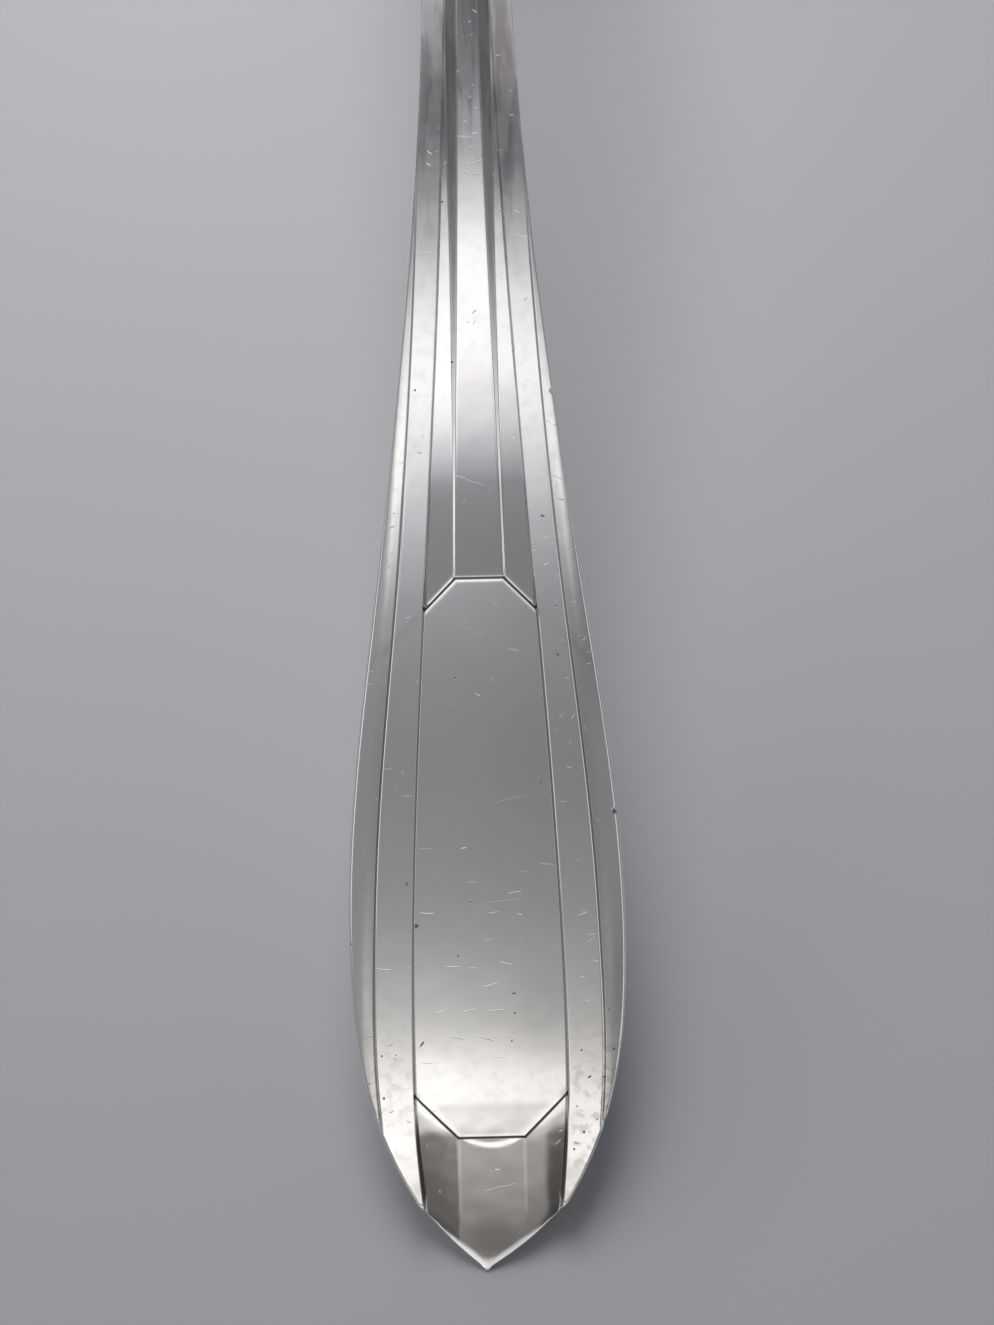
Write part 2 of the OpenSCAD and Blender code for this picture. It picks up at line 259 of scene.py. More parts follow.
def along(keys, s):
    """Smooth curve through keys of (distance from the tip, value, slope)."""
    at, value, slope = np.array(keys, float).T
    i = np.clip(np.searchsorted(at, s, side="right") - 1, 0, len(at) - 2)
    run = at[i + 1] - at[i]
    u = np.clip((s - at[i]) / run, 0, 1)
    v = 1 - u
    near = value[i] * (1 + 2 * u) * v * v + slope[i] * run * u * v * v
    far = value[i + 1] * (1 + 2 * v) * u * u - slope[i + 1] * run * u * u * v
    return near + far


def ramp(x, radius):
    """The larger of x and 0, with its corner rounded over the radius each way."""
    soft = (x + radius) ** 2 / (4 * radius)
    return np.where(x <= -radius, 0, np.where(x >= radius, x, soft))


def ease(x, low, high):
    """0 below low, 1 above high, and a soft step between them."""
    u = np.clip((x - low) / (high - low), 0, 1)
    return u * u * (3 - 2 * u)


def bend(distance, length):
    """1 at no distance, bending softly to 0 at the length."""
    return (1 - np.clip(distance / length, 0, 1)) ** 2


def spaced(start, end, step):
    """Even places from start up to, but not at, end."""
    count = max(1, round((end - start) / step))
    return start + (end - start) * np.arange(count) / count


# Wall of the bowl and path of the handle, as [Y, Z] on the handle's side
def wall_point(turn, offset):
    """Point of the bowl's outer wall at an angle of its ellipse, offset outwards."""
    out = np.stack([-WALL_B * np.sin(turn), -WALL_A * np.cos(turn)], -1)
    out = out / np.linalg.norm(out, axis=-1, keepdims=True)
    y = -FOOT_D / 2 - WALL_A * np.sin(turn)
    z = WALL_B * (1 - np.cos(turn))
    return np.stack([y, z], -1) + offset * out


def wall_out(turn):
    """Direction square out of the bowl's wall."""
    return wall_point(turn, 1.0) - wall_point(turn, 0.0)


def wall_up(turn):
    """Direction along the bowl's wall, towards the rim."""
    out = wall_out(turn)
    return np.array([out[1], -out[0]])


TIP = np.array([-BOWL_D / 2 - REACH, TIP_Z])
ARCH = np.array([-BOWL_D / 2 - ARCH_OUT, BOWL_H + ARCH_RISE])
RIM = wall_point(WALL_TURN, SOLDER_FILM)


def face_path():
    """Distance from the tip, Y, Z and heading along the face, and where arch and rim are. The path
    starts 1 mm before the tip, so that the nose can reach past it."""
    t = np.linspace(0, 1, PATH_STEPS)
    tip_way = np.array([math.cos(TIP_SLOPE), math.sin(TIP_SLOPE)])
    level = np.array([1.0, 0.0])
    handle = bezier(TIP, TIP + TIP_PULL * tip_way, ARCH - ARCH_PULL * level, ARCH, t)
    rim_handle = RIM + RIM_PULL * ARCH_RISE * wall_up(WALL_TURN)
    neck = bezier(ARCH, ARCH + RIM_PULL * ARCH_OUT * level, rim_handle, RIM, t)
    tongue = wall_point(WALL_TURN * (1 - t), SOLDER_FILM)
    points = np.vstack([TIP - tip_way, handle[:-1], neck[:-1], tongue])
    steps = np.linalg.norm(np.diff(points, axis=0), axis=1)
    at = np.concatenate([[0], np.cumsum(steps)]) - 1
    way = np.gradient(points, at, axis=0)
    heading = np.arctan2(way[:, 1], way[:, 0])
    return at, points[:, 0], points[:, 1], heading, at[PATH_STEPS], at[2 * PATH_STEPS - 1]


PATH_AT, PATH_Y, PATH_Z, PATH_HEADING, ARCH_AT, RIM_AT = face_path()
HANDLE_END = RIM_AT + TONGUE_LEN


def placed(s, x, h):
    """Point, in metres, at a distance along the face, across it and above it."""
    y = np.interp(s, PATH_AT, PATH_Y)
    z = np.interp(s, PATH_AT, PATH_Z)
    a = np.interp(s, PATH_AT, PATH_HEADING)
    wrap = np.clip((s - ARCH_AT) / (RIM_AT - ARCH_AT), LEAST_WRAP, 1)
    r = -y / wrap
    turn = x / r
    lift = h * np.sin(a)
    px = (r + lift) * np.sin(turn)
    py = y + r * (1 - np.cos(turn)) - lift * np.cos(turn)
    pz = z + h * np.cos(a)
    return np.stack(np.broadcast_arrays(px, py, pz), -1) * MM


# Half widths and heights along the handle, as keys of (distance from the tip, value, slope). Many
# slopes are a multiple of the slope of the straight line between two keys.
OUTLINE = [
    (-TIP_LENGTHEN, 0, 1.22 * NOSE_W / 2 / NOSE_LEN),
    (NOSE_LEN, NOSE_W / 2, 2.65 * (BLADE_W - NOSE_W) / 2 / (BLADE_AT - NOSE_LEN)),
    (BLADE_AT, BLADE_W / 2, 0),
    (FLANK_AT, FLANK_W / 2, -1.5 * (BLADE_W - SHANK_W) / 2 / (SHANK_AT - BLADE_AT)),
    (SHANK_AT, SHANK_W / 2, 0),
    (RIM_AT - FLARE_LEN, SHANK_W / 2, 0),
    (RIM_AT, TONGUE_W / 2, 0),
    (HANDLE_END, TONGUE_END_W / 2, -TONGUE_W / TONGUE_LEN),
]
COLUMN_SLOPE = -1.28 * (COLUMN_W - COLUMN_SHANK_W) / 2 / (SHANK_AT - BLADE_AT)
COLUMN = [
    (0, (COLUMN_W - COLUMN_DRAW) / 2, 1.4 * COLUMN_DRAW / 2 / COLUMN_AT),
    (COLUMN_AT, COLUMN_W / 2, 0),
    (FLANK_AT, COLUMN_FLANK_W / 2, COLUMN_SLOPE),
    (SHANK_AT, COLUMN_SHANK_W / 2, 0.3 * COLUMN_SLOPE),
    (HANDLE_END, COLUMN_SHANK_W / 2, 0),
]
RIB_SLOPE = -1.5 * (RIB_PANEL_W - RIB_SHANK_W) / 2 / (SHANK_AT - PANEL_TO)
RIB = [
    (0, RIB_NOSE_W / 2, 0),
    (PANEL_FROM, RIB_NOSE_W / 2, 0),
    (PANEL_TO, RIB_PANEL_W / 2, RIB_SLOPE),
    (SHANK_AT, RIB_SHANK_W / 2, 0.3 * RIB_SLOPE),
    (HANDLE_END, RIB_SHANK_W / 2, 0),
]
BEVEL = [
    (BEVEL_FROM, 0, 2.6 * BEVEL_W / (BEVEL_AT - BEVEL_FROM)),
    (BEVEL_AT, BEVEL_W, 0),
    (BEVEL_TO, 0, -0.8 * BEVEL_W / (BEVEL_TO - BEVEL_AT)),
]
RIB_HEIGHT = [
    (66, -1.0, 0.07),
    (PANEL_TO, -0.65, 0.085),
    (76, -0.165, 0.08),
    (81, 0.16, 0.042),
    (86, 0.31, 0.02),
    (96, 0.53, 0.027),
    (104, 0.8, 0.038),
    (111, 1.03, 0.033),
    (117, 1.24, 0.04),
    (124, 1.57, 0.053),
    (132, 2.02, 0.056),
    (142, 2.3, 0),
]
RIB_FALL = [
    (PANEL_TO, 0.2, 0.002),
    (81, 0.24, 0.008),
    (90, 0.32, 0.01),
    (97, 0.44, 0.017),
    (104, 0.58, 0.021),
    (111, 0.69, 0.016),
    (124, 1.07, 0.045),
    (132, 1.5, 0.056),
    (142, 1.8, 0),
]
RIB_SIDE = [
    (PANEL_TO, 0.24, 0.014),
    (87, 0.5, 0.015),
    (104, 0.78, 0.02),
    (122, 1.2, 0.01),
    (SHANK_AT, 1.25, 0),
]
THICKNESS = [
    (0, 1.4, 0.08),
    (BLADE_AT, 2.8, 0),
    (FLANK_AT, 2.8, 0.01),
    (120, 4.2, 0),
    (RIM_AT - FLARE_LEN, 4.2, 0),
    (RIM_AT, 2.8, -0.06),
    (HANDLE_END, 1.2, -0.05),
]


def outline(s):
    """Half width of the handle, with the tongue's end rounded."""
    tail = np.clip((s - (HANDLE_END - TONGUE_ROUND)) / TONGUE_ROUND, 0, 1)
    return along(OUTLINE, s) * np.sqrt(1 - tail * tail)


def bevel(s):
    """Width of the outer bevels."""
    return np.where((s > BEVEL_FROM) & (s < BEVEL_TO), along(BEVEL, s), 0)


def nick(s):
    """Depth of the dents in the right edge."""
    return sum(depth * ease(length - abs(s - at), 0, length) for at, length, depth in NICKS)


def in_panel(s, x):
    """Distance inside the panel's outline, which has chamfered ends."""
    near_rib = along(RIB, PANEL_FROM)
    far_rib = along(RIB, PANEL_TO)
    ends = np.minimum(s - PANEL_FROM, PANEL_TO - s)
    near_cut = (near_rib + s - PANEL_FROM - x) / math.sqrt(2)
    far_cut = (far_rib + PANEL_TO - s - x) / math.sqrt(2)
    return np.minimum(ends, np.minimum(near_cut, far_cut))


def bevel_share(s):
    """1 where the outer bevel is wide enough for its whole groove, fading to 0 at its ends."""
    return np.clip(bevel(s) / BEVEL_FADE, 0, 1)


def bevel_fall(s, x, w):
    """Fall of the outer bevel, which steepens away from its groove."""
    run = ramp(x - (w - bevel(s)), BEVEL_SOFT) * (bevel(s) > 0)
    return BEVEL_SLOPE * run + BEVEL_ROLL * ramp(run - BEVEL_ROLL_AT, BEVEL_ROLL_SOFT)


def wall_share(s, w):
    """1 where the rail is wide enough to stand as a wall beside the column, fading to 0 at the tip."""
    return ease(np.maximum(w - along(COLUMN, s), 0), *WALL_ON)


def relief_share(s):
    """1 along the struck face, fading to 0 on the plain neck."""
    return ease(s, RELIEF_TO, RELIEF_TO - RELIEF_FADE)


def groove(across):
    """Share of a groove's depth at a distance across it, with rounded shoulders."""
    return ramp(1 - np.hypot(across, GROOVE_BOTTOM_R) / GROOVE_HALF, GROOVE_SHOULDER)


def inner_groove(s, x, w):
    """Share of the groove between column and rail."""
    return groove(x - along(COLUMN, s)) * wall_share(s, w)


def outer_groove(s, x, w):
    """Share of the groove between rail and bevel."""
    return groove(x - w + bevel(s)) * bevel_share(s)


def edge_cut(distance):
    """Fall of the narrow slant worn on an edge, at a distance in from the middle of its groove."""
    slant = ramp(GROOVE_HALF + EDGE_CUT - distance, EDGE_CUT_SOFT)
    return EDGE_CUT_SLOPE * np.minimum(slant, EDGE_CUT) * ease(distance, -GROOVE_HALF, 0)


def nose_height(s, x, w, rib, run, gap):
    """Height of the nose: a flat middle between facets of two planes, hollowed at the panel's end."""
    facet = np.clip((x - rib) / run, 0, 1)
    height = -NOSE_DROP - NOSE_TILT * (PANEL_FROM - s)
    height = height - FACET_SLOPE * ramp(x - rib, FACET_EDGE_R)
    height = height - FACET_TURN * ramp(x - rib - FACET_TURN_AT * run, FACET_TURN_R)
    hollow = HOLLOW_LEN * np.clip(1 - (x / rib) ** 2, 0, 1) - gap
    height = height - HOLLOW * (ramp(hollow, HOLLOW_SOFT) - ramp(hollow - HOLLOW_RIM, HOLLOW_RIM_SOFT))
    height = height - WEDGE * facet * bend(gap, WEDGE_LEAST + WEDGE_LEN * facet)
    return height - NOSE_RIM * bend(np.maximum(w - x, 0), NOSE_RIM_LEN) * ease(s, *NOSE_RIM_ON)


def shank_height(s, x, rib, run, gap):
    """Height of the rib, its slanted sides and the channels, with fillets against the panel's end."""
    side = along(RIB_SIDE, s)
    slant = (ramp(x - rib, RIB_EDGE_R) - ramp(x - rib - side, RIB_EDGE_R)) / side
    channel = CHANNEL_FALL * np.clip((x - rib - side) / run, 0, 1)
    height = along(RIB_HEIGHT, s) - along(RIB_FALL, s) * slant - channel
    by_cut = ease(x - rib, *CUT_FILLET_ON)
    fillet = FAR_FILLET * bend(gap, FAR_FILLET_LEN)
    return height + fillet + (CUT_FILLET * bend(gap, CUT_FILLET_LEN) - fillet) * by_cut


def column_height(s, x, w):
    """Height of the centre column outside the panel: nose facets, or rib and channels."""
    rib = along(RIB, s)
    run = np.maximum(along(COLUMN, s) - rib, LEAST_RUN)
    gap = np.maximum(-in_panel(s, x), 0)
    nose = nose_height(s, x, w, rib, run, gap)
    return np.where(s < BLADE_AT, nose, shank_height(s, x, rib, run, gap))


def panel_height(s, x):
    """Height of the raised panel: crowned, falling at its near end and rolled off at its far end."""
    crown = PANEL_CROWN * (1 - (2 * x / COLUMN_W) ** 2)
    inside = np.maximum(in_panel(s, x), 0)
    near = PANEL_LEAN * ramp(PANEL_LEAN_AT - s, PANEL_LEAN_SOFT)
    near = near + PANEL_END_FALL * ramp(PANEL_END_AT - s, PANEL_END_SOFT)
    cut = np.maximum(along(RIB, PANEL_FROM) + s - PANEL_FROM - x, 0) / math.sqrt(2)
    flat_lip = LIP_FLAT * bend(np.maximum(s - PANEL_FROM, 0), LIP_FLAT_LEN)
    near = near - np.maximum(flat_lip, LIP_CUT * bend(cut, LIP_CUT_LEN))
    roll = PANEL_FAR_ROLL * bend(np.maximum(inside - PANEL_FAR_FLAT, 0), PANEL_FAR_LEN)
    far = np.where(s > BLADE_AT, roll, 0)
    return PANEL_RISE + crown - near - far


def rail_height(s):
    """Height of the side rails, which run on straight beside the falling nose."""
    return RAIL_END_RISE * (1 - np.clip(s / RAIL_FLAT_AT, 0, 1)) ** 2


def face_zones(s, x, w):
    """How much a place belongs to the panel, and how much to the rails and bevels."""
    soft = np.where(s < BLADE_AT, NEAR_STEP_SOFT, FAR_STEP_SOFT)
    on_panel = ease(in_panel(s, x), -soft, soft)
    column = along(COLUMN, s)
    rails = np.clip(np.maximum(w - column, 0) / RAIL_FADE, 0, 1)
    return on_panel, ease(x - column, -WALL_SOFT, WALL_SOFT) * rails


def face_height(s, x, w, side):
    """Height of the whole face, on the right side or, where side is less than 0, on the left."""
    column = along(COLUMN, s)
    on_panel, on_rail = face_zones(s, x, w)
    low = column_height(s, x, w)
    middle = low + (panel_height(s, x) - low) * on_panel
    rail_w = np.maximum(w - column, 0)
    tip_fall = RAIL_TIP_FALL * ramp(1 - rail_w / RAIL_TIP_W, RAIL_TIP_SOFT) * (s < BEVEL_FROM)
    rail = rail_height(s) - tip_fall - bevel_fall(s, x, w)
    height = middle + (rail - middle) * on_rail
    inner_cut = GROOVE_DEPTH * inner_groove(s, x, w) * ease(s, *INNER_GROOVE_ON)
    bevel_cut = edge_cut(w - bevel(s) - x) * bevel_share(s) * ease(s, *BEVEL_CUT_OFF)
    outer_cut = GROOVE_DEPTH * outer_groove(s, x, w) + bevel_cut
    panel_cut = edge_cut(x - column) if side > 0 else edge_cut(column - x) * LEFT_EDGE_CUT * on_panel
    inner_cut = inner_cut + panel_cut * ease(s, *PANEL_CUT_ON) * ease(s, *PANEL_CUT_OFF)
    return (height - inner_cut - outer_cut) * relief_share(s)


def face_masks(s, x, w):
    """Masks of the face's tarnished grooves together with painted shade, some of it over tarnish, at the
    panel's steps, walls and corners, on the rib's sides and on the bevels, and of its bright-polished
    places.
    """
    rib = along(RIB, s)
    column = along(COLUMN, s)
    inside = in_panel(s, x)
    on_panel, on_rail = face_zones(s, x, w)
    # Painted shadow, with some tarnish, at the feet of the panel's near and far steps
    near_foot = ease(inside, *NEAR_FOOT_ON) * (inside < NEAR_FOOT_TO)
    far_foot = ease(inside, *FAR_FOOT_ON) * ease(inside, *FAR_FOOT_OFF)
    step_foot = np.where(s < BLADE_AT, near_foot, far_foot) * (x < column)
    # Painted shade in the nose's corners beside the panel's near chamfers
    corner = np.clip((x - rib) / np.maximum(column - rib, LEAST_RUN), 0, 1) * (s < BLADE_AT)
    corner_shade = CORNER_SHADE * corner * bend(np.maximum(-inside, 0), WEDGE_LEAST + WEDGE_LEN * corner)
    # Painted shade on the rib's slanted sides up the neck
    foot = rib + along(RIB_SIDE, s)
    rib_wall = RIB_WALL_DARK * ease(x - rib, 0, RIB_WALL_SOFT) * ease(foot - x, 0, RIB_WALL_SOFT)
    rib_wall = rib_wall * ease(s, *RIB_WALL_ON)
    # Painted shade, with some tarnish, along the wall between the nose and the rails
    nose_wall = ease(abs(x - column), *NOSE_WALL_ASIDE) * wall_share(s, w) * ease(s, *NOSE_WALL_ON)
    # Painted shade on the bevels beside the outer grooves, under the rails' edges
    on_bevel = x > w - bevel(s)
    under_edge = UNDER_EDGE * bend(np.maximum(x - w + bevel(s), 0), UNDER_EDGE_LEN) * on_bevel
    under_edge = under_edge * ease(s, *UNDER_EDGE_OFF) * ease(s, *UNDER_EDGE_ON)
    low = (1 - on_panel) * (1 - on_rail)
    painted_shade = np.clip(step_foot + nose_wall + (corner_shade + rib_wall) * low, 0, 1)
    # Tarnish in the grooves, gathered with the painted shade into one mask
    lines = INNER_DARK * inner_groove(s, x, w) ** 2 + OUTER_DARK * outer_groove(s, x, w) ** 2
    tarnish_and_shade = np.clip(lines + under_edge + painted_shade, 0, 1)
    bright = np.maximum(low, bend(abs(inside), BRIGHT_LEN))
    return tarnish_and_shade * relief_share(s), bright * relief_share(s)


# Lines across the half face, close together at each edge and groove, and the lines between them
RIB_LINES = np.array([-0.2, -0.12, -0.06, 0, 0.06, 0.12, 0.2])
FOOT_LINES = np.array([-0.12, -0.06, 0, 0.06, 0.12])
STEP_SIDE = np.array([0.02, 0.06, 0.11, 0.17, 0.24, 0.33, 0.45, 0.6, 0.8])
STEP_LINES = np.concatenate([-STEP_SIDE[::-1], STEP_SIDE])
GROOVE_SIDE = np.array([0.05, 0.1, 0.14, 0.18, 0.25, 0.32, 0.36, 0.4, 0.48])
GROOVE_LINES = np.concatenate([-GROOVE_SIDE[::-1], [0], GROOVE_SIDE])
RIB_REACH = 0.2
FOOT_REACH = 0.1
GROOVE_REACH = 0.45
RIB_FILL = 4
CHANNEL_FILL = 3
RAIL_FILL = 6
BEVEL_FILL = 5
NOSE_FOOT = 0.35
PANEL_LINES_LEAVE = (0.5, 6)
LINE_GAP = 0.014


def filled(low, high, count):
    """Even lines between two others."""
    share = np.arange(1, count + 1) / (count + 1)
    return low + (high - low) * share


def face_lines(s, limit):
    """Distances from the midline of the lines that the face is drawn with, in order."""
    rib = along(RIB, s)
    column = along(COLUMN, s)
    foot = rib + np.where(s > BLADE_AT, along(RIB_SIDE, s), NOSE_FOOT)
    ends = np.minimum(s - PANEL_FROM, PANEL_TO - s)
    rib_at_end = np.where(s < BLADE_AT, along(RIB, PANEL_FROM), along(RIB, PANEL_TO))
    panel = rib_at_end + np.maximum(ends, 0)
    panel = panel + ((foot + column) / 2 - panel) * ease(-ends, *PANEL_LINES_LEAVE)
    panel = np.minimum(panel, column)
    groove_out = outline(s) - bevel(s)
    step = panel + math.sqrt(2) * STEP_LINES
    parts = [
        filled(0, rib - RIB_REACH, RIB_FILL),
        rib + RIB_LINES,
        foot + FOOT_LINES,
        filled(foot + FOOT_REACH, step[:, :1], CHANNEL_FILL),
        step,
        filled(step[:, -1:], column - GROOVE_REACH, CHANNEL_FILL),
        column + GROOVE_LINES,
        filled(column + GROOVE_REACH, groove_out - GROOVE_REACH, RAIL_FILL),
        groove_out + GROOVE_LINES,
        filled(groove_out + GROOVE_REACH, limit, BEVEL_FILL),
        limit,
    ]
    lines = np.hstack(parts)
    count = lines.shape[1]
    even = limit * np.arange(1, count + 1) / count
    lines = even + (lines - even) * relief_share(s)
    gap = np.minimum(LINE_GAP, limit / (2 * count))
    order = np.arange(count)
    lines = np.minimum(np.sort(lines, axis=1), limit - (count - 1 - order) * gap)
    lines = np.maximum.accumulate(lines - order * gap, axis=1) + order * gap
    return np.hstack([np.zeros_like(limit), np.minimum(lines, limit)])


def half_section(s, side):
    """Half sections at places along the handle, from the midline of the face round the edge to
    the midline of the back: distance across, height, mask of tarnish and painted shade, and polish mask."""
    s = s[:, None]
    full_w = outline(s)
    w = full_w - (nick(s) if side > 0 else 0)
    edge_r = EDGE_R + (SHANK_EDGE_R - EDGE_R) * ease(s, *EDGE_THINS)
    edge = np.minimum(edge_r, EDGE_SHARE * w)
    rail_end = np.where(s < RAIL_FLAT_AT, abs(w - along(COLUMN, s)), 1.0)
    edge = np.minimum(edge, np.maximum(RAIL_EDGE_SHARE * rail_end, LEAST_EDGE_R))
    limit = w - edge
    x = face_lines(s, limit)
    h = face_height(s, x, full_w, side)
    tarnish_and_shade, bright = face_masks(s, x, full_w)
    probe = EDGE_PROBE * edge / EDGE_R
    inner = face_height(s, limit - probe, full_w, side)
    lean = np.clip(np.arctan2(inner - h[:, -1:], probe), 0, MOST_LEAN)
    turn = lean + (math.pi / 2 - lean) * np.arange(1, EDGE_STEPS + 1) / EDGE_STEPS
    r = edge / (1 - np.sin(lean))
    x_edge = w - r + r * np.sin(turn)
    h_edge = h[:, -1:] - r * np.cos(lean) + r * np.cos(turn)
    thick = along(THICKNESS, s)
    back_edge = np.minimum(-thick + BACK_ROUND, h_edge[:, -1:] - LEAST_SIDE)
    back_r = np.minimum(BACK_EDGE_R, EDGE_SHARE * w)
    x_side = np.repeat(w, SIDE_STEPS, axis=1)
    h_side = filled(h_edge[:, -1:], back_edge + back_r, SIDE_STEPS)
    arc = np.arange(ARC_STEPS + 1) / ARC_STEPS * math.pi / 2
    x_arc = w - back_r + back_r * np.cos(arc)
    h_arc = back_edge + back_r - back_r * np.sin(arc)
    inward = 1 - np.arange(1, BACK_STEPS + 1) / BACK_STEPS
    x_back = (w - back_r) * inward
    h_back = -thick + (back_edge + thick) * inward**2
    across = np.hstack([x, x_edge, x_side, x_arc, x_back])
    height = np.hstack([h, h_edge, h_side, h_arc, h_back])
    rest = np.zeros((len(s), across.shape[1] - x.shape[1]))
    across = across * side + TIP_ASIDE * bend(s, TIP_ASIDE_LEN)
    return across, height, np.hstack([tarnish_and_shade, rest]), np.hstack([bright, rest])


# Steps along the handle between its drawn sections
TIP_START = 0.12
TIP_FINE_TO = 1.0
NEAR_FINE_TO = 19.5
FAR_FINE_FROM = 66.0
TIP_STEP = 0.08
NOSE_STEP = 0.18
END_STEP = 0.16
LONG_STEP = 0.55
SHANK_STEP = 1.0
ARCH_STEP = 0.7
TONGUE_END_STEPS = 14
NICK_REACH = 1.2
NICK_STEPS = 13
LEAST_STEP = 0.008


def tongue_end(steps):
    """Places along the rounded end of the tongue, closer together towards its end."""
    return HANDLE_END - TONGUE_ROUND * (1 - np.sin(np.linspace(0, math.pi / 2, steps)))


def stations():
    """Places along the handle where its section is drawn."""
    runs = [
        spaced(TIP_START - TIP_LENGTHEN, TIP_FINE_TO, TIP_STEP),
        spaced(TIP_FINE_TO, PANEL_FROM, NOSE_STEP),
        spaced(PANEL_FROM, NEAR_FINE_TO, END_STEP),
        spaced(NEAR_FINE_TO, FAR_FINE_FROM, LONG_STEP),
        spaced(FAR_FINE_FROM, PANEL_TO, END_STEP),
        spaced(PANEL_TO, SHANK_AT, LONG_STEP),
        spaced(SHANK_AT, ARCH_AT, SHANK_STEP),
        spaced(ARCH_AT, HANDLE_END - TONGUE_ROUND, ARCH_STEP),
        tongue_end(TONGUE_END_STEPS)[:-1],
        PANEL_FROM + STEP_LINES,
        PANEL_TO + STEP_LINES,
    ]
    for at, length, _ in NICKS:
        runs.append(at + length * np.linspace(-NICK_REACH, NICK_REACH, NICK_STEPS))
    places = np.unique(np.round(np.concatenate(runs), 4))
    return places[np.concatenate([[True], np.diff(places) > LEAST_STEP])]


# Meshes
def new_piece(name, points, faces, place, masks, material):
    """Smooth-shaded piece on the ladle's one body, with its surface place and masks stored on it."""
    mesh = bpy.data.meshes.new(name)
    mesh.from_pydata(points.tolist(), [], faces)
    mesh.shade_smooth()
    stored = mesh.attributes.new("surface_place", "FLOAT_VECTOR", "POINT")
    stored.data.foreach_set("vector", place.astype(np.float32).ravel())
    for mask_name, values in masks.items():
        stored = mesh.attributes.new(mask_name, "FLOAT", "POINT")
        stored.data.foreach_set("value", values.astype(np.float32).ravel())
    mesh.materials.append(material)
    piece = bpy.data.objects.new(name, mesh)
    bpy.context.scene.collection.objects.link(piece)
    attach(piece, "root")
    return piece


def ring_faces(rings, count):
    """Faces between closed rings of points."""
    ring = np.arange(count)
    following = (ring + 1) % count
    faces = []
    for i in range(rings - 1):
        a = i * count
        b = a + count
        faces += np.stack([a + ring, a + following, b + following, b + ring], -1).tolist()
    return faces


def end_rings(rings, count):
    """Numbers of the points in the first ring and in the last."""
    near = list(range(count))
    return near, [(rings - 1) * count + j for j in near]


def fan(ring, centre):
    """Triangles from a ring of points to a centre point."""
    return [[a, b, centre] for a, b in zip(ring, ring[1:] + ring[:1])]


def capped_faces(rings, count):
    """Faces between closed rings of points, with each end fanned to one of the two points after them."""
    near, far = end_rings(rings, count)
    return ring_faces(rings, count) + fan(near[::-1], rings * count) + fan(far, rings * count + 1)


def handle_piece(material):
    """Struck handle, from its pointed nose to the tongue on the bowl."""
    s = stations()
    right = half_section(s, 1)
    left = half_section(s, -1)
    ring = [np.hstack([r, l[:, -2:0:-1]]) for r, l in zip(right, left)]
    across, height, tarnish_and_shade, bright = ring
    rings, count = across.shape
    along_face = np.repeat(s[:, None], count, axis=1)
    points = placed(along_face, across, height).reshape(-1, 3)
    place = np.stack([across, along_face, height], -1).reshape(-1, 3)
    caps = points.reshape(rings, count, 3)[[0, -1]].mean(axis=1)
    cap_place = place.reshape(rings, count, 3)[[0, -1]].mean(axis=1)
    masks = {
        "tarnish_and_shade": np.concatenate([tarnish_and_shade.ravel(), [0, 0]]),
        "bright": np.concatenate([bright.ravel(), [0, 0]]),
    }
    points = np.vstack([points, caps])
    place = np.vstack([place, cap_place])
    piece = new_piece("handle_struck", points, capped_faces(rings, count), place, masks, material)
    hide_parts("handle")


def bowl_piece(material):
    """Drawn bowl: a thin shell with a rounded lip on a flat foot."""
    turns = np.linspace(0, WALL_TURN, WALL_STEPS)
    lip_turn = np.arange(1, LIP_STEPS) / LIP_STEPS * math.pi
    lip_centre = wall_point(WALL_TURN, -BOWL_WALL / 2)
    lip_out = np.cos(lip_turn)[:, None] * wall_out(WALL_TURN)
    lip_up = np.sin(lip_turn)[:, None] * wall_up(WALL_TURN)
    foot_y = np.linspace(0, -FOOT_D / 2, FOOT_STEPS)[1:-1]
    foot = np.stack([foot_y, np.zeros_like(foot_y)], -1)
    profile = np.vstack([
        foot,
        wall_point(turns, 0.0),
        lip_centre + BOWL_WALL / 2 * (lip_out + lip_up),
        wall_point(turns[::-1], -BOWL_WALL),
        foot[::-1] + [0, BOWL_WALL],
    ])
    angle = np.arange(BOWL_SIDES) / BOWL_SIDES * 2 * math.pi
    radius = -profile[:, :1]
    x = radius * np.sin(angle)
    y = -radius * np.cos(angle)
    z = np.repeat(profile[:, 1:], BOWL_SIDES, axis=1)
    points = np.stack([x, y, z], -1).reshape(-1, 3)
    steps = np.linalg.norm(np.diff(profile, axis=0), axis=1)
    run = np.concatenate([[0], np.cumsum(steps)])[:, None]
    around = BOWL_D / 2 * (angle - math.pi)
    place = np.stack(np.broadcast_arrays(around, run, z * 0), -1).reshape(-1, 3)
    faces = [face[::-1] for face in capped_faces(len(profile), BOWL_SIDES)]
    poles = np.array([[0, 0, 0], [0, 0, BOWL_WALL]])
    points = np.vstack([points, poles]) * MM
    place = np.vstack([place, [[0, 0, 0], [0, run[-1, 0], 0]]])
    piece = new_piece("bowl_drawn", points, faces, place, {}, material)
    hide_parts("bowl")


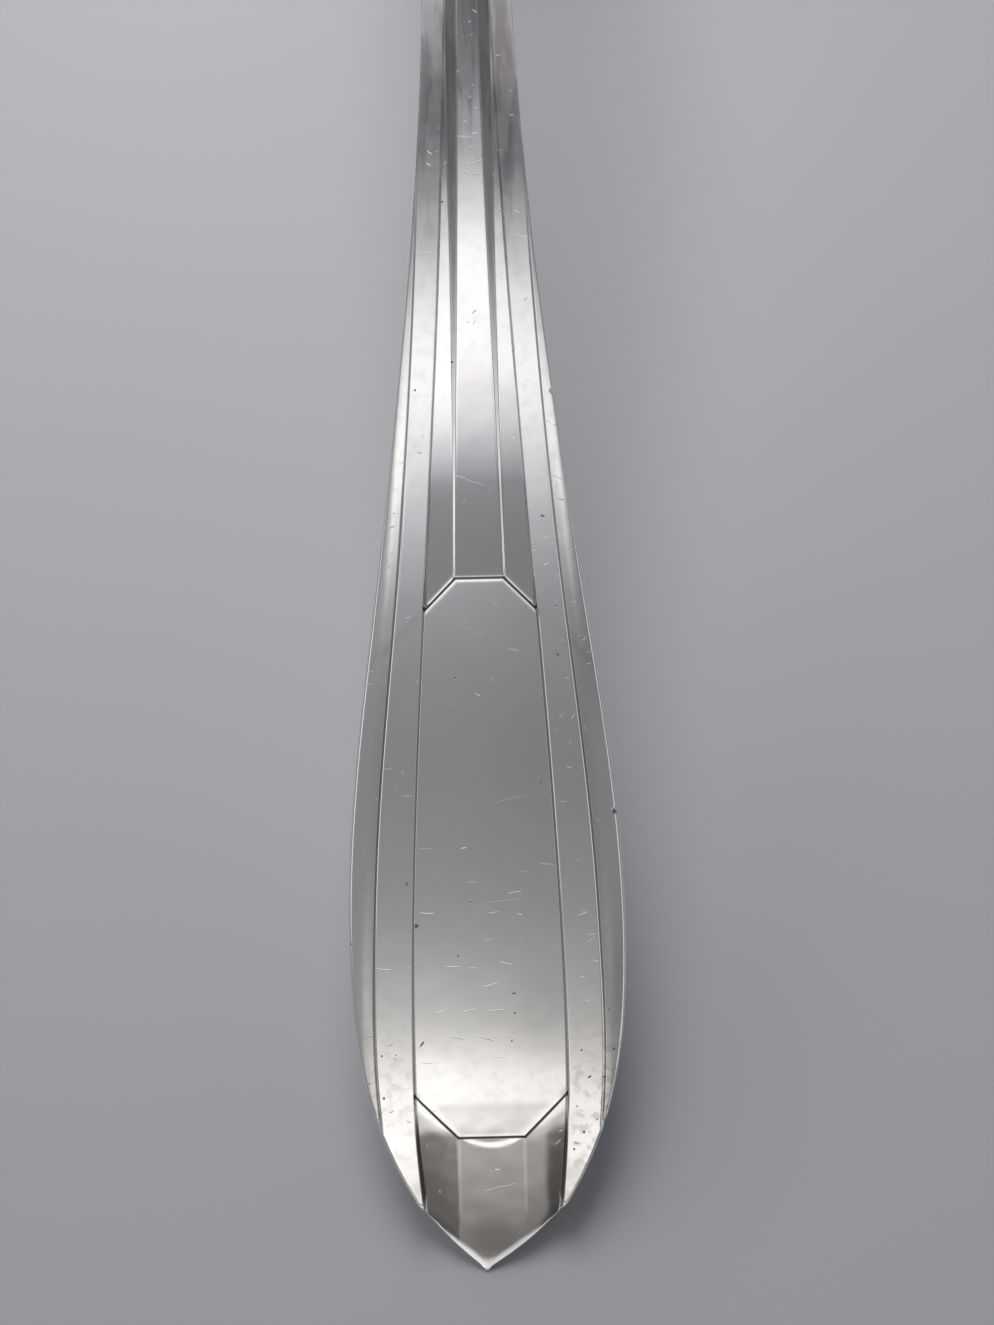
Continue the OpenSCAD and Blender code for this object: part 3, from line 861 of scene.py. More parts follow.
def seam_piece(material):
    """Solder that has run out round the tongue, as a hollow fillet against the bowl's wall."""
    straight = spaced(RIM_AT + SEAM_BELOW_RIM, HANDLE_END - TONGUE_ROUND, SEAM_STEP)
    down = np.concatenate([straight, tongue_end(SEAM_END_STEPS)])
    half = outline(down)
    s = np.concatenate([down, down[-2::-1]])
    x = np.concatenate([half, -half[-2::-1]])
    way = np.stack([np.gradient(s), np.gradient(x)], -1)
    way = way / np.linalg.norm(way, axis=1, keepdims=True)
    out_s = -way[:, 1:]
    out_x = way[:, :1]
    turn = np.arange(FILLET_STEPS + 1) / FILLET_STEPS * math.pi / 2
    out = np.concatenate([SOLDER_FILLET * (1 - np.sin(turn)), [-SEAM_UNDER, -SEAM_UNDER]])
    fillet = SOLDER_FILM - (SOLDER_FILLET + SOLDER_FILM) * (1 - np.cos(turn))
    up = np.concatenate([fillet, [-SEAM_SUNK, SOLDER_FILM]])
    along_face = s[:, None] + out_s * out
    across = x[:, None] + out_x * out
    rings, count = along_face.shape
    points = placed(along_face, across, np.broadcast_to(up, (rings, count))).reshape(-1, 3)
    place = np.stack([across, along_face, across * 0], -1).reshape(-1, 3)
    near, far = end_rings(rings, count)
    faces = ring_faces(rings, count) + [near[::-1], far]
    piece = new_piece("seam_fillet", points, faces, place, {}, material)
    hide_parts("solder_seam")


# Node helpers
class Nodes:
    """Short way to add and join the nodes of one tree."""

    def __init__(self, tree):
        self.tree = tree

    def add(self, kind, **settings):
        """New node with its settings."""
        made = self.tree.nodes.new(kind)
        for key, value in settings.items():
            setattr(made, key, value)
        return made

    def join(self, value, socket):
        """Links an output, or sets a plain number or colour."""
        if isinstance(value, bpy.types.NodeSocket):
            self.tree.links.new(value, socket)
        else:
            socket.default_value = value

    def math(self, operation, a, b=0.0, clamp=False):
        """Outcome of one step of arithmetic."""
        made = self.add("ShaderNodeMath", operation=operation, use_clamp=clamp)
        self.join(a, made.inputs[0])
        self.join(b, made.inputs[1])
        return made.outputs[0]

    def times(self, a, b):
        """Product of two numbers."""
        return self.math("MULTIPLY", a, b)

    def larger(self, a, b):
        """The larger of two numbers."""
        return self.math("MAXIMUM", a, b)

    def raised(self, value, mask, amount, clamp=False):
        """A number with an amount added where the mask is."""
        return self.math("ADD", value, self.times(mask, amount), clamp)

    def soft_step(self, value, low, high, to_low=0.0, to_high=1.0):
        """A soft step from one number, where the value is at low, to another, where it is at high."""
        made = self.add("ShaderNodeMapRange", interpolation_type="SMOOTHSTEP")
        for socket, number in zip(made.inputs, (value, low, high, to_low, to_high)):
            self.join(number, socket)
        return made.outputs[0]

    def between(self, value, on, off):
        """1 where a value is past one soft step and not yet past another."""
        return self.times(self.soft_step(value, *on), self.soft_step(value, *off))

    def mix(self, share, a, b):
        """Colour a with a share of colour b."""
        made = self.add("ShaderNodeMix", data_type="RGBA")
        self.join(share, made.inputs["Factor"])
        self.join(a, made.inputs[6])
        self.join(b, made.inputs[7])
        return made.outputs[2]

    def tinted(self, colour, mask, amount, tint):
        """A colour with an amount of a tint where the mask is."""
        return self.mix(self.times(mask, amount), colour, tint)

    def scaled(self, value, share):
        """A place or a colour times a number."""
        made = self.add("ShaderNodeVectorMath", operation="SCALE")
        self.join(value, made.inputs[0])
        self.join(share, made.inputs["Scale"])
        return made.outputs[0]

    def noise(self, place, scale, detail=2.0):
        """Outputs of soft noise."""
        made = self.add("ShaderNodeTexNoise")
        for key, value in (("Vector", place), ("Scale", scale), ("Detail", detail)):
            self.join(value, made.inputs[key])
        return made.outputs

    def waver(self, place, scale, amount):
        """A place moved a little to and fro by soft noise."""
        shift = self.add("ShaderNodeVectorMath", operation="MULTIPLY_ADD")
        self.join(self.noise(place, scale)["Color"], shift.inputs[0])
        shift.inputs[1].default_value = (amount, amount, 0)
        self.join(place, shift.inputs[2])
        return shift.outputs[0]

    def net(self, place):
        """Cells of a random net, about one unit wide, and three chances that each cell draws."""
        cells = self.add("ShaderNodeTexVoronoi", voronoi_dimensions="2D")
        self.join(place, cells.inputs["Vector"])
        cells.inputs["Scale"].default_value = 1.0
        chance = self.add("ShaderNodeSeparateColor")
        self.join(cells.outputs["Color"], chance.inputs[0])
        return cells.outputs, chance.outputs

    def parts(self, place):
        """X, Y and Z of a place."""
        made = self.add("ShaderNodeSeparateXYZ")
        self.join(place, made.inputs[0])
        return made.outputs

    def apart(self, place, centre, angle):
        """Distances of a place from a centre, along and across a line at an angle."""
        local = self.add("ShaderNodeVectorMath", operation="SUBTRACT")
        self.join(place, local.inputs[0])
        self.join(centre, local.inputs[1])
        turned = self.add("ShaderNodeVectorRotate", rotation_type="Z_AXIS")
        self.join(local.outputs[0], turned.inputs["Vector"])
        self.join(angle, turned.inputs["Angle"])
        parts = self.parts(turned.outputs[0])
        return self.math("ABSOLUTE", parts[0]), self.math("ABSOLUTE", parts[1])

    def attribute(self, name, output):
        """What the mesh has stored under a name."""
        return self.add("ShaderNodeAttribute", attribute_name=name).outputs[output]

    def place_group(self, group, **values):
        """Mask of a group with its own values."""
        made = self.add("ShaderNodeGroup", node_tree=group)
        for key, value in values.items():
            self.join(value, made.inputs[key.capitalize()])
        return made.outputs["Mask"]


def new_group(name, **inputs):
    """Empty shader node group with a place and more named inputs, numbers or (None) places, and a mask."""
    group = bpy.data.node_groups.new(name, "ShaderNodeTree")
    group.interface.new_socket("Place", in_out="INPUT", socket_type="NodeSocketVector")
    for key, value in inputs.items():
        kind = "NodeSocketVector" if value is None else "NodeSocketFloat"
        socket = group.interface.new_socket(key.capitalize(), in_out="INPUT", socket_type=kind)
        if value is not None:
            socket.default_value = value
    group.interface.new_socket("Mask", in_out="OUTPUT", socket_type="NodeSocketFloat")
    nodes = Nodes(group)
    return group, nodes, nodes.add("NodeGroupInput").outputs, nodes.add("NodeGroupOutput").inputs


def scratch_group():
    """Short straight scratches, mostly crosswise, one in some of the cells of a random net."""
    group, nodes, given, put = new_group(
        "short scratches", spacing=6.0, length=0.3, width=0.012, turn=1.6, share=0.5
    )
    small = nodes.scaled(given["Place"], nodes.math("DIVIDE", 1.0, given["Spacing"]))
    bent = nodes.waver(small, 2.2, 0.12)
    cells, chance = nodes.net(bent)
    angle = nodes.times(nodes.math("SUBTRACT", chance[0], 0.5), given["Turn"])
    lengthwise, crosswise = nodes.apart(bent, cells["Position"], angle)
    reach = nodes.times(given["Length"], nodes.math("ADD", chance[2], 0.3))
    run = nodes.soft_step(lengthwise, reach, nodes.times(reach, 0.6))
    line = nodes.times(run, nodes.soft_step(crosswise, given["Width"], 0.0))
    there = nodes.math("LESS_THAN", chance[1], given["Share"])
    depth = nodes.times(there, nodes.math("ADD", chance[2], 0.15, clamp=True))
    nodes.join(nodes.times(line, depth), put["Mask"])
    return group


def mark_group():
    """One mark at a given place: a stroke, or a pit when it is as wide as it is long."""
    group, nodes, given, put = new_group("single mark", centre=None, length=0.5, width=0.05, turn=0.0)
    lengthwise, crosswise = nodes.apart(given["Place"], given["Centre"], given["Turn"])
    run = nodes.soft_step(lengthwise, given["Length"], 0.0)
    line = nodes.times(run, nodes.soft_step(crosswise, given["Width"], 0.0))
    nodes.join(nodes.math("MULTIPLY", line, 1.8, clamp=True), put["Mask"])
    return group


# How quickly the streaks change across, along and above the face: slowest along it
STREAK_STRETCH = (0.7, 0.11, 0.6)


def streak_group():
    """Patchy streaks of old tarnish that run along the piece."""
    group, nodes, given, put = new_group("tarnish streaks", low=0.45, high=0.62)
    longer = nodes.add("ShaderNodeVectorMath", operation="MULTIPLY")
    nodes.join(given["Place"], longer.inputs[0])
    longer.inputs[1].default_value = STREAK_STRETCH
    noise = nodes.noise(longer.outputs[0], 1.0, 5.0)
    nodes.join(nodes.soft_step(noise["Fac"], given["Low"], given["High"]), put["Mask"])
    return group


def pit_group():
    """Small round pits, one in some of the cells of a random net."""
    group, nodes, given, put = new_group("small pits", spacing=4.0, size=0.04, share=0.25)
    small = nodes.scaled(given["Place"], nodes.math("DIVIDE", 1.0, given["Spacing"]))
    cells, chance = nodes.net(small)
    size = nodes.times(given["Size"], nodes.math("ADD", chance[2], 0.4))
    dot = nodes.soft_step(cells["Distance"], size, nodes.times(size, 0.4))
    there = nodes.math("LESS_THAN", chance[1], given["Share"])
    nodes.join(nodes.times(dot, there), put["Mask"])
    return group


def smudge_group():
    """Soft uneven patches left by handling and old polish."""
    group, nodes, given, put = new_group("handling smudges", scale=0.12, detail=4.0, low=0.4, high=0.65)
    noise = nodes.noise(given["Place"], given["Scale"], given["Detail"])
    nodes.join(nodes.soft_step(noise["Fac"], given["Low"], given["High"]), put["Mask"])
    return group


# Materials: colours, and depths of the bump in metres
SILVER = (0.872, 0.872, 0.866, 1)
WARM_SILVER = (0.86, 0.81, 0.77, 1)
# Dark of tarnish in grooves and pits, also used as painted shade on the handle's face
TARNISH_AND_SHADE = (0.06, 0.056, 0.053, 1)
STREAK_GREY = (0.36, 0.345, 0.36, 1)
PIT_BROWN = (0.10, 0.08, 0.065, 1)
WORN_BROWN = (0.46, 0.41, 0.37, 1)
SOLDER_GREY = (0.72, 0.71, 0.69, 1)
SOLDER_DULL = (0.5, 0.48, 0.45, 1)
PAPER_DARK = (0.4, 0.408, 0.428, 1)
PAPER_LIGHT = (0.416, 0.424, 0.445, 1)
SCRATCH_DEPTH = 0.00003
SOLDER_GRAIN = 0.00005

# Kinds of scratches: cells of the net in mm, length and width in cells, spread of turns, share of cells
FLECKS = {"spacing": 1.3, "length": 0.22, "width": 0.06, "turn": 2.4, "share": 0.3}
LONG_LINES = {"spacing": 8.0, "length": 0.25, "width": 0.006, "turn": 0.9, "share": 0.2}
WIPES = {"spacing": 2.4, "length": 0.3, "width": 0.03, "turn": 0.8, "share": 0.4}
BOWL_LINES = {"spacing": 5.0, "length": 0.34, "width": 0.012, "turn": 3.1, "share": 0.5}

# Soft steps of the handle's wear, along it, across it (right is more than 0) or aside on both sides:
# where the step starts and ends, and the shares there if they aren't 0 and 1
CROWD_RIGHT = (6.5, 8.5, 0.0, 0.8)
CROWD_NECK = (100, 112, 0.0, 0.9)
STREAKS_ON = (98, 116)
STREAKS_OFF = (130, 158, 1.0, 0.1)
STREAKS_BESIDE_RIB = (1.1, 1.8)
STREAKS_ON_RIB = (110, 122)
WIPES_ON = (19, 24, 0.0, 0.5)
WIPES_OFF = (50, 38)
WORN_ASIDE = (7.9, 8.3)
WORN_OFF = (32, 20)
WORN_RIGHT = (-1, 1, 0.4, 1.0)
WORN_FILM = (0.1, 0.8)
RIDGE_ASIDE = (0.35, 0.05)
RIDGE_ON = (4.5, 7)
RIDGE_OFF = (14.4, 14)
NOSE_SWELL = (17, 14, 1.0, 6.0)

# Share of pitted cells off and on the worn rails, share of a stain off and on a streak, and roughness
# of satin and of bright places
PIT_SHARES = (0.012, 0.3)
STAIN_SHARES = (0.4, 1.0)
SATIN_TO_BRIGHT = (0.13, 0.08)


def new_material(name):
    """Metal with an empty Principled shader."""
    material = bpy.data.materials.new(name)
    material.use_nodes = True
    nodes = Nodes(material.node_tree)
    shader = material.node_tree.nodes["Principled BSDF"]
    shader.inputs["Metallic"].default_value = 1.0
    return material, nodes, shader


def bump(nodes, shader, height, strength, distance):
    """Feeds a height to the shader's normal."""
    made = nodes.add("ShaderNodeBump")
    made.inputs["Strength"].default_value = strength
    made.inputs["Distance"].default_value = distance
    nodes.join(height, made.inputs["Height"])
    nodes.join(made.outputs["Normal"], shader.inputs["Normal"])


# Marks seen on the face: distance from the tip, distance across, half length, half width and turn
PITS = [
    (35.5, -7.0, 0.34, 0.3, 0.6), (39.7, -7.9, 0.3, 0.16, 1.2), (76.5, 6.6, 0.34, 0.16, -0.5),
    (62.4, 7.8, 0.22, 0.2, 0), (49.6, 5.8, 0.14, 0.14, 0), (28.6, 2.6, 0.3, 0.12, 0.3),
    (23.7, -6.7, 0.5, 0.14, 0.9), (20.0, 10.0, 0.3, 0.14, 0.5), (32.5, -2.9, 0.14, 0.14, 0),
    (46.5, 13.2, 0.45, 0.4, 0.6),
]
STROKES = [
    (39.8, -1.3, 0.8, 0.08, 0), (24.6, 2.8, 1.0, 0.1, -0.25), (37.9, 2.0, 3.0, 0.05, 0.08),
    (63.0, 3.3, 0.9, 0.08, -0.15), (51.3, -9.4, 0.8, 0.07, 0.05), (48.5, -7.7, 0.8, 0.1, 0),
    (47.6, 7.9, 0.6, 0.1, 0.1), (48.0, 2.5, 3.0, 0.05, 0.22), (13.3, 6.7, 0.6, 0.11, 0.7),
    (115.7, -0.4, 1.2, 0.16, -0.1), (27.6, 0.3, 1.6, 0.07, 0.05), (33.7, 10.4, 0.8, 0.07, 0.5),
]
STAINS = [
    (122.5, -0.1, 1.5, 6.0, 0), (3.3, 0.2, 3.6, 2.4, 0),
    (119.5, -3.4, 1.6, 6.0, 0), (116.0, 3.7, 1.3, 8.0, 0),
]


def marks(nodes, group, place, rows):
    """Mask of all the marks in a list."""
    mask = None
    for at, across, length, width, turn in rows:
        centre = (across, at, 0)
        one = nodes.place_group(group, place=place, centre=centre, length=length, width=width, turn=-turn)
        mask = one if mask is None else nodes.larger(mask, one)
    return mask


def handle_streaks(nodes, groups, place, at, aside):
    """Mask of the neck's tarnish streaks, which cover the rib only further up."""
    streaks = nodes.place_group(groups["streak"], place=place, low=0.43, high=0.58)
    streaks = nodes.times(streaks, nodes.soft_step(at, *STREAKS_ON))
    streaks = nodes.times(streaks, nodes.soft_step(at, *STREAKS_OFF))
    beside_rib = nodes.soft_step(aside, *STREAKS_BESIDE_RIB)
    return nodes.times(streaks, nodes.larger(beside_rib, nodes.soft_step(at, *STREAKS_ON_RIB)))


def handle_lines(nodes, groups, place, bent, at, crowd):
    """Mask of the handle's fine scratches, and of these together with the larger strokes."""
    flecks = nodes.place_group(groups["scratch"], place=place, **FLECKS)
    long_lines = nodes.place_group(groups["scratch"], place=place, **LONG_LINES)
    strokes = marks(nodes, groups["mark"], bent, STROKES)
    flecks = nodes.times(nodes.times(flecks, crowd), 0.7)
    wipes = nodes.place_group(groups["scratch"], place=place, **WIPES)
    wipes = nodes.times(wipes, nodes.between(at, WIPES_ON, WIPES_OFF))
    fine_lines = nodes.larger(nodes.times(long_lines, 0.3), nodes.larger(flecks, wipes))
    return fine_lines, nodes.larger(fine_lines, nodes.times(strokes, 0.65))


def handle_ridges(nodes, at, aside):
    """Mask of the soft ridges between the nose's middle and its facets."""
    off_ridge = nodes.math("ABSOLUTE", nodes.math("SUBTRACT", aside, RIB_NOSE_W / 2))
    ridge = nodes.times(nodes.soft_step(off_ridge, *RIDGE_ASIDE), nodes.soft_step(at, *RIDGE_OFF))
    return nodes.times(ridge, nodes.soft_step(at, *RIDGE_ON))


def handle_silver(groups):
    """Worn silver plate: satin panel and rails, brighter channels and nose, tarnished grooves, and painted
    shade at the panel's steps, walls and corners, on the rib's sides and on the bevels.
    The larger strokes and pits stay out of the bump, which keeps the shader within what the renderer can
    hold."""
    material, nodes, shader = new_material("handle silver plate")
    place = nodes.attribute("surface_place", "Vector")
    tarnish_and_shade = nodes.attribute("tarnish_and_shade", "Fac")
    bright = nodes.attribute("bright", "Fac")
    across, at = nodes.parts(place)[:2]
    aside = nodes.math("ABSOLUTE", across)
    bent = nodes.waver(place, 3.0, 0.12)
    smudge = nodes.place_group(groups["smudge"], place=place, scale=0.11, low=0.42, high=0.7)
    film = nodes.place_group(groups["smudge"], place=place, scale=0.85, low=0.42, high=0.72)
    crowd = nodes.place_group(groups["smudge"], place=place, scale=0.16, low=0.5, high=0.64)
    crowd = nodes.larger(crowd, nodes.soft_step(across, *CROWD_RIGHT))
    crowd = nodes.larger(crowd, nodes.soft_step(at, *CROWD_NECK))
    streaks = handle_streaks(nodes, groups, place, at, aside)
    fine_lines, lines = handle_lines(nodes, groups, place, bent, at, crowd)
    on_rail = nodes.times(nodes.soft_step(aside, *WORN_ASIDE), nodes.soft_step(at, *WORN_OFF))
    on_rail = nodes.times(on_rail, nodes.soft_step(across, *WORN_RIGHT))
    worn = nodes.times(nodes.soft_step(film, *WORN_FILM), on_rail)
    pit_share = nodes.soft_step(on_rail, 0.0, 1.0, *PIT_SHARES)
    fine_pits = nodes.place_group(groups["pit"], place=place, spacing=1.4, size=0.09, share=pit_share)
    pits = nodes.larger(fine_pits, marks(nodes, groups["mark"], bent, PITS))
    colour = nodes.tinted(SILVER, smudge, 0.2, WARM_SILVER)
    colour = nodes.tinted(colour, streaks, 0.5, STREAK_GREY)
    patchy = nodes.soft_step(streaks, 0.0, 1.0, *STAIN_SHARES)
    stains = nodes.times(marks(nodes, groups["mark"], bent, STAINS), patchy)
    colour = nodes.tinted(colour, stains, 0.75, STREAK_GREY)
    colour = nodes.tinted(colour, film, 0.05, STREAK_GREY)
    colour = nodes.tinted(colour, worn, 0.3, WORN_BROWN)
    # Tarnish in the grooves, and painted shade at the panel's steps, walls and corners, on the rib's sides
    # and on the bevels
    colour = nodes.tinted(colour, tarnish_and_shade, 0.95, TARNISH_AND_SHADE)
    colour = nodes.tinted(colour, pits, 0.85, PIT_BROWN)
    nodes.join(colour, shader.inputs["Base Color"])
    rough = nodes.soft_step(bright, 0.0, 1.0, *SATIN_TO_BRIGHT)
    rough = nodes.raised(rough, nodes.math("ADD", film, nodes.math("ADD", streaks, worn)), 0.03)
    rough = nodes.raised(rough, handle_ridges(nodes, at, aside), 0.15)
    rough = nodes.raised(rough, lines, 0.3)
    rough = nodes.raised(rough, nodes.math("ADD", tarnish_and_shade, pits), 0.3, clamp=True)
    nodes.join(rough, shader.inputs["Roughness"])
    waves = nodes.noise(place, 0.25, 1.0)
    swell = nodes.times(waves["Fac"], nodes.soft_step(at, *NOSE_SWELL))
    dents = nodes.math("SUBTRACT", swell, nodes.math("ADD", fine_lines, fine_pits))
    bump(nodes, shader, dents, 0.35, SCRATCH_DEPTH)
    return material


def bowl_silver(groups):
    """Polished silver plate of the bowl, with fine wiping lines and soft films."""
    material, nodes, shader = new_material("bowl silver plate")
    place = nodes.attribute("surface_place", "Vector")
    smudge = nodes.place_group(groups["smudge"], place=place, scale=0.06, low=0.4, high=0.7)
    film = nodes.place_group(groups["smudge"], place=place, scale=0.35, low=0.45, high=0.75)
    lines = nodes.place_group(groups["scratch"], place=place, **BOWL_LINES)
    pits = nodes.place_group(groups["pit"], place=place, spacing=7.0, size=0.025, share=0.15)
    colour = nodes.tinted(SILVER, smudge, 0.35, WARM_SILVER)
    colour = nodes.tinted(colour, pits, 0.8, PIT_BROWN)
    nodes.join(colour, shader.inputs["Base Color"])
    rough = nodes.raised(nodes.raised(0.1, film, 0.05), lines, 0.3, clamp=True)
    nodes.join(rough, shader.inputs["Roughness"])
    dents = nodes.times(nodes.math("ADD", lines, pits), -1.0)
    bump(nodes, shader, dents, 0.25, SCRATCH_DEPTH)
    return material


def solder_silver(groups):
    """Duller hard solder with a grainy skin."""
    material, nodes, shader = new_material("hard solder")
    place = nodes.attribute("surface_place", "Vector")
    grain = nodes.place_group(groups["smudge"], place=place, scale=2.2, low=0.35, high=0.7)
    patches = nodes.place_group(groups["smudge"], place=place, scale=0.3, low=0.4, high=0.6)
    pits = nodes.place_group(groups["pit"], place=place, spacing=1.6, size=0.09, share=0.3)
    colour = nodes.tinted(SOLDER_GREY, patches, 0.6, SOLDER_DULL)
    colour = nodes.tinted(colour, pits, 0.6, TARNISH_AND_SHADE)
    nodes.join(colour, shader.inputs["Base Color"])
    nodes.join(nodes.soft_step(grain, 0.0, 1.0, 0.28, 0.42), shader.inputs["Roughness"])
    bump(nodes, shader, nodes.math("SUBTRACT", grain, pits), 0.3, SOLDER_GRAIN)
    return material


def floor_paper():
    """Pale blue-grey matt paper with the faintest mottle."""
    material, nodes, shader = new_material("pale paper")
    shader.inputs["Metallic"].default_value = 0.0
    shader.inputs["Roughness"].default_value = 0.75
    place = nodes.add("ShaderNodeTexCoord").outputs["Object"]
    mottle = nodes.noise(place, 14.0, 3.0)["Fac"]
    nodes.join(nodes.mix(mottle, PAPER_DARK, PAPER_LIGHT), shader.inputs["Base Color"])
    return material


# Floor and lamp, in metres and watts
FLOOR_R = 4.0
FLOOR_SIDES = 96
FLOOR_GAP = 0.00002
LAMP_SIZE = 0.17
LAMP_POWER = 0.74
LAMP_AT = Vector((-0.032, 0, 0.26))
LAMP_AIM = Vector((0, -0.19, 0))


def pale_floor():
    """Round floor that the ladle lies on."""
    bpy.ops.mesh.primitive_circle_add(vertices=FLOOR_SIDES, radius=FLOOR_R, fill_type="NGON")
    floor = bpy.context.object
    floor.name = "floor"
    floor.location.z = cad_low.z - FLOOR_GAP
    floor.data.materials.append(floor_paper())


# Soft studio surroundings: angle in degrees from straight up towards the handle's tip, brightness and tint
PLAIN = (1.0, 1.0, 0.99)
LILAC = (1.06, 1.0, 1.09)
BLUE = (0.975, 1.0, 1.06)
COOL = (0.97, 1.0, 1.02)
GREEN = (0.957, 1.0, 0.985)
ROSE = (1.04, 1.0, 1.0)
WARM = (1.045, 1.0, 0.965)
TAN = (1.06, 1.0, 0.955)
STUDIO = [
    (-35, 0.95, PLAIN), (-22, 0.62, PLAIN), (-16.5, 0.42, LILAC), (-13.5, 0.24, LILAC),
    (-11.5, 0.17, LILAC), (-9, 0.165, LILAC), (-7.3, 0.235, BLUE), (-5, 0.45, BLUE),
    (-1.4, 0.98, PLAIN), (1, 1.15, PLAIN),
    (3.6, 1.18, PLAIN), (5, 0.95, ROSE), (8.4, 0.62, BLUE), (10.9, 0.425, BLUE), (13.4, 0.31, BLUE),
    (17, 0.262, COOL), (22, 0.236, GREEN), (30, 0.285, GREEN), (33.7, 0.4, PLAIN), (36.5, 0.49, PLAIN),
    (38.4, 0.71, WARM), (41.2, 1.2, WARM), (45, 1.15, WARM), (47.5, 0.78, WARM), (49.3, 0.6, TAN),
    (51, 0.38, TAN), (54, 0.34, TAN), (57, 0.28, TAN), (59.5, 0.2, TAN), (64, 0.18, TAN),
    (72, 0.7, PLAIN), (90, 0.95, PLAIN),
]
BLACK = (0, 0, 0, 1)
SIDE_WALL = (0.236, 0.24, 0.25, 1)
SIDE_STRIP = (0.85, 0.85, 0.85, 1)
LOW_SIDE = (0.207, 0.197, 0.212, 1)
FRONT_LEFT = (0.5, 0.49, 0.48, 1)
FRONT_RIGHT = (0.32, 0.32, 0.32, 1)
BACK_SIDE = (0.2, 0.2, 0.21, 1)
LOW_SKY = (0.83, 0.835, 0.855, 1)
HIGH_SKY = (0.24, 0.24, 0.247, 1)
BACKDROP = (0.6, 0.61, 0.63, 1)

# Soft steps between the surroundings' parts, by the same angle, or by how far a direction points aside
# on both sides, to the right, to the bowl's side or up: start and end, and the shares there if not 0 and 1
GLOOM_ON = (48.5, 52)
GLOOM_OFF = (71, 65)
GLOOM_LEFT = (-0.05, -0.18, 0.0, 0.6)
GLOOM_RIGHT = (0.17, 0.23, 0.0, 0.72)
LOW_FRONT_ON = (31, 38)
LOW_FRONT_OFF = (54, 50)
LOW_FRONT_ASIDE = (0.25, 0.5)
FRONT_TO_RIGHT = (-0.2, 0.2)
LOW_BACK_ON = (6, 11)
LOW_BACK_OFF = (21, 16)
LOW_BACK_ASIDE = (0.25, 0.5, 0.0, 0.75)
WALL_ASIDE = (0.52, 0.7)
STRIP_ASIDE = (0.77, 0.82)
STRIP_ON = (-38, 4)
STRIP_END = (36, 42)
STRIP_END_LEFT = (0.1, -0.1)
LOW_ASIDE = (0.92, 0.96)
DUSK_ON = (11, 16)
DUSK_OFF = (36, 31)
SHADE_ON = (2, 5)
SHADE_OFF = (38, 42, 1.0, 0.2)
SHADE_RIGHT = (0.033, 0.06)
GLOW_LEFT = (-0.045, -0.075)
LEAN_RIGHT = (-0.1, 0.1, 1.04, 0.96)
SKY_UP = (0.45, 0.75)
SKY_BEYOND = (-0.7, 0.6, 0.2, 1.4)
SKY_RIGHT = (-0.8, 0.6, 1.65, 0.35)

# Amounts of the shade on the right and the glow on the left, out of the dusk and in it
SHADE_IN_DUSK = (0.22, 0.02)
GLOW_IN_DUSK = (0.1, 0.0)


def studio_bands(nodes, angle):
    """Bands of light and shade across the handle's length."""
    share = nodes.math("ADD", nodes.math("DIVIDE", angle, math.pi), 0.5, clamp=True)
    bands = nodes.add("ShaderNodeValToRGB")
    nodes.join(share, bands.inputs[0])
    stops = bands.color_ramp.elements
    while len(stops) < len(STUDIO):
        stops.new(0.5)
    for stop, (degrees, level, tint) in zip(stops, STUDIO):
        stop.position = degrees / 180 + 0.5
        stop.color = (level * tint[0], level * tint[1], level * tint[2], 1)
    return bands.outputs["Color"]


def studio_sides(nodes, colour, x, aside, front):
    """Bands with the darker walls, strips and corners of the studio at their sides."""
    edges = nodes.math("ADD", nodes.soft_step(x, *GLOOM_LEFT), nodes.soft_step(x, *GLOOM_RIGHT))
    gloom = nodes.times(nodes.between(front, GLOOM_ON, GLOOM_OFF), edges)
    colour = nodes.mix(gloom, colour, BLACK)
    low_front = nodes.between(front, LOW_FRONT_ON, LOW_FRONT_OFF)
    low_front = nodes.times(nodes.soft_step(aside, *LOW_FRONT_ASIDE), low_front)
    front_side = nodes.mix(nodes.soft_step(x, *FRONT_TO_RIGHT), FRONT_LEFT, FRONT_RIGHT)
    colour = nodes.mix(low_front, colour, front_side)
    low_back = nodes.between(front, LOW_BACK_ON, LOW_BACK_OFF)
    low_back = nodes.times(nodes.soft_step(aside, *LOW_BACK_ASIDE), low_back)
    colour = nodes.mix(low_back, colour, BACK_SIDE)
    colour = nodes.mix(nodes.soft_step(aside, *WALL_ASIDE), colour, SIDE_WALL)
    strip = nodes.times(nodes.soft_step(aside, *STRIP_ASIDE), nodes.soft_step(front, *STRIP_ON))
    strip_end = nodes.times(nodes.soft_step(front, *STRIP_END), nodes.soft_step(x, *STRIP_END_LEFT))
    colour = nodes.mix(nodes.math("SUBTRACT", strip, strip_end, clamp=True), colour, SIDE_STRIP)
    return nodes.mix(nodes.soft_step(aside, *LOW_ASIDE), colour, LOW_SIDE)


def studio_lean(nodes, x, front):
    """How much brighter the surroundings are to the left of the handle than to its right."""
    dusk = nodes.between(front, DUSK_ON, DUSK_OFF)
    started = nodes.soft_step(front, *SHADE_ON)
    shade = nodes.times(nodes.soft_step(x, *SHADE_RIGHT), nodes.soft_step(dusk, 0.0, 1.0, *SHADE_IN_DUSK))
    shade = nodes.times(nodes.times(shade, started), nodes.soft_step(front, *SHADE_OFF))
    glow = nodes.times(nodes.soft_step(x, *GLOW_LEFT), nodes.soft_step(dusk, 0.0, 1.0, *GLOW_IN_DUSK))
    shade = nodes.math("SUBTRACT", shade, nodes.times(glow, started))
    return nodes.math("SUBTRACT", nodes.soft_step(x, *LEAN_RIGHT), shade)


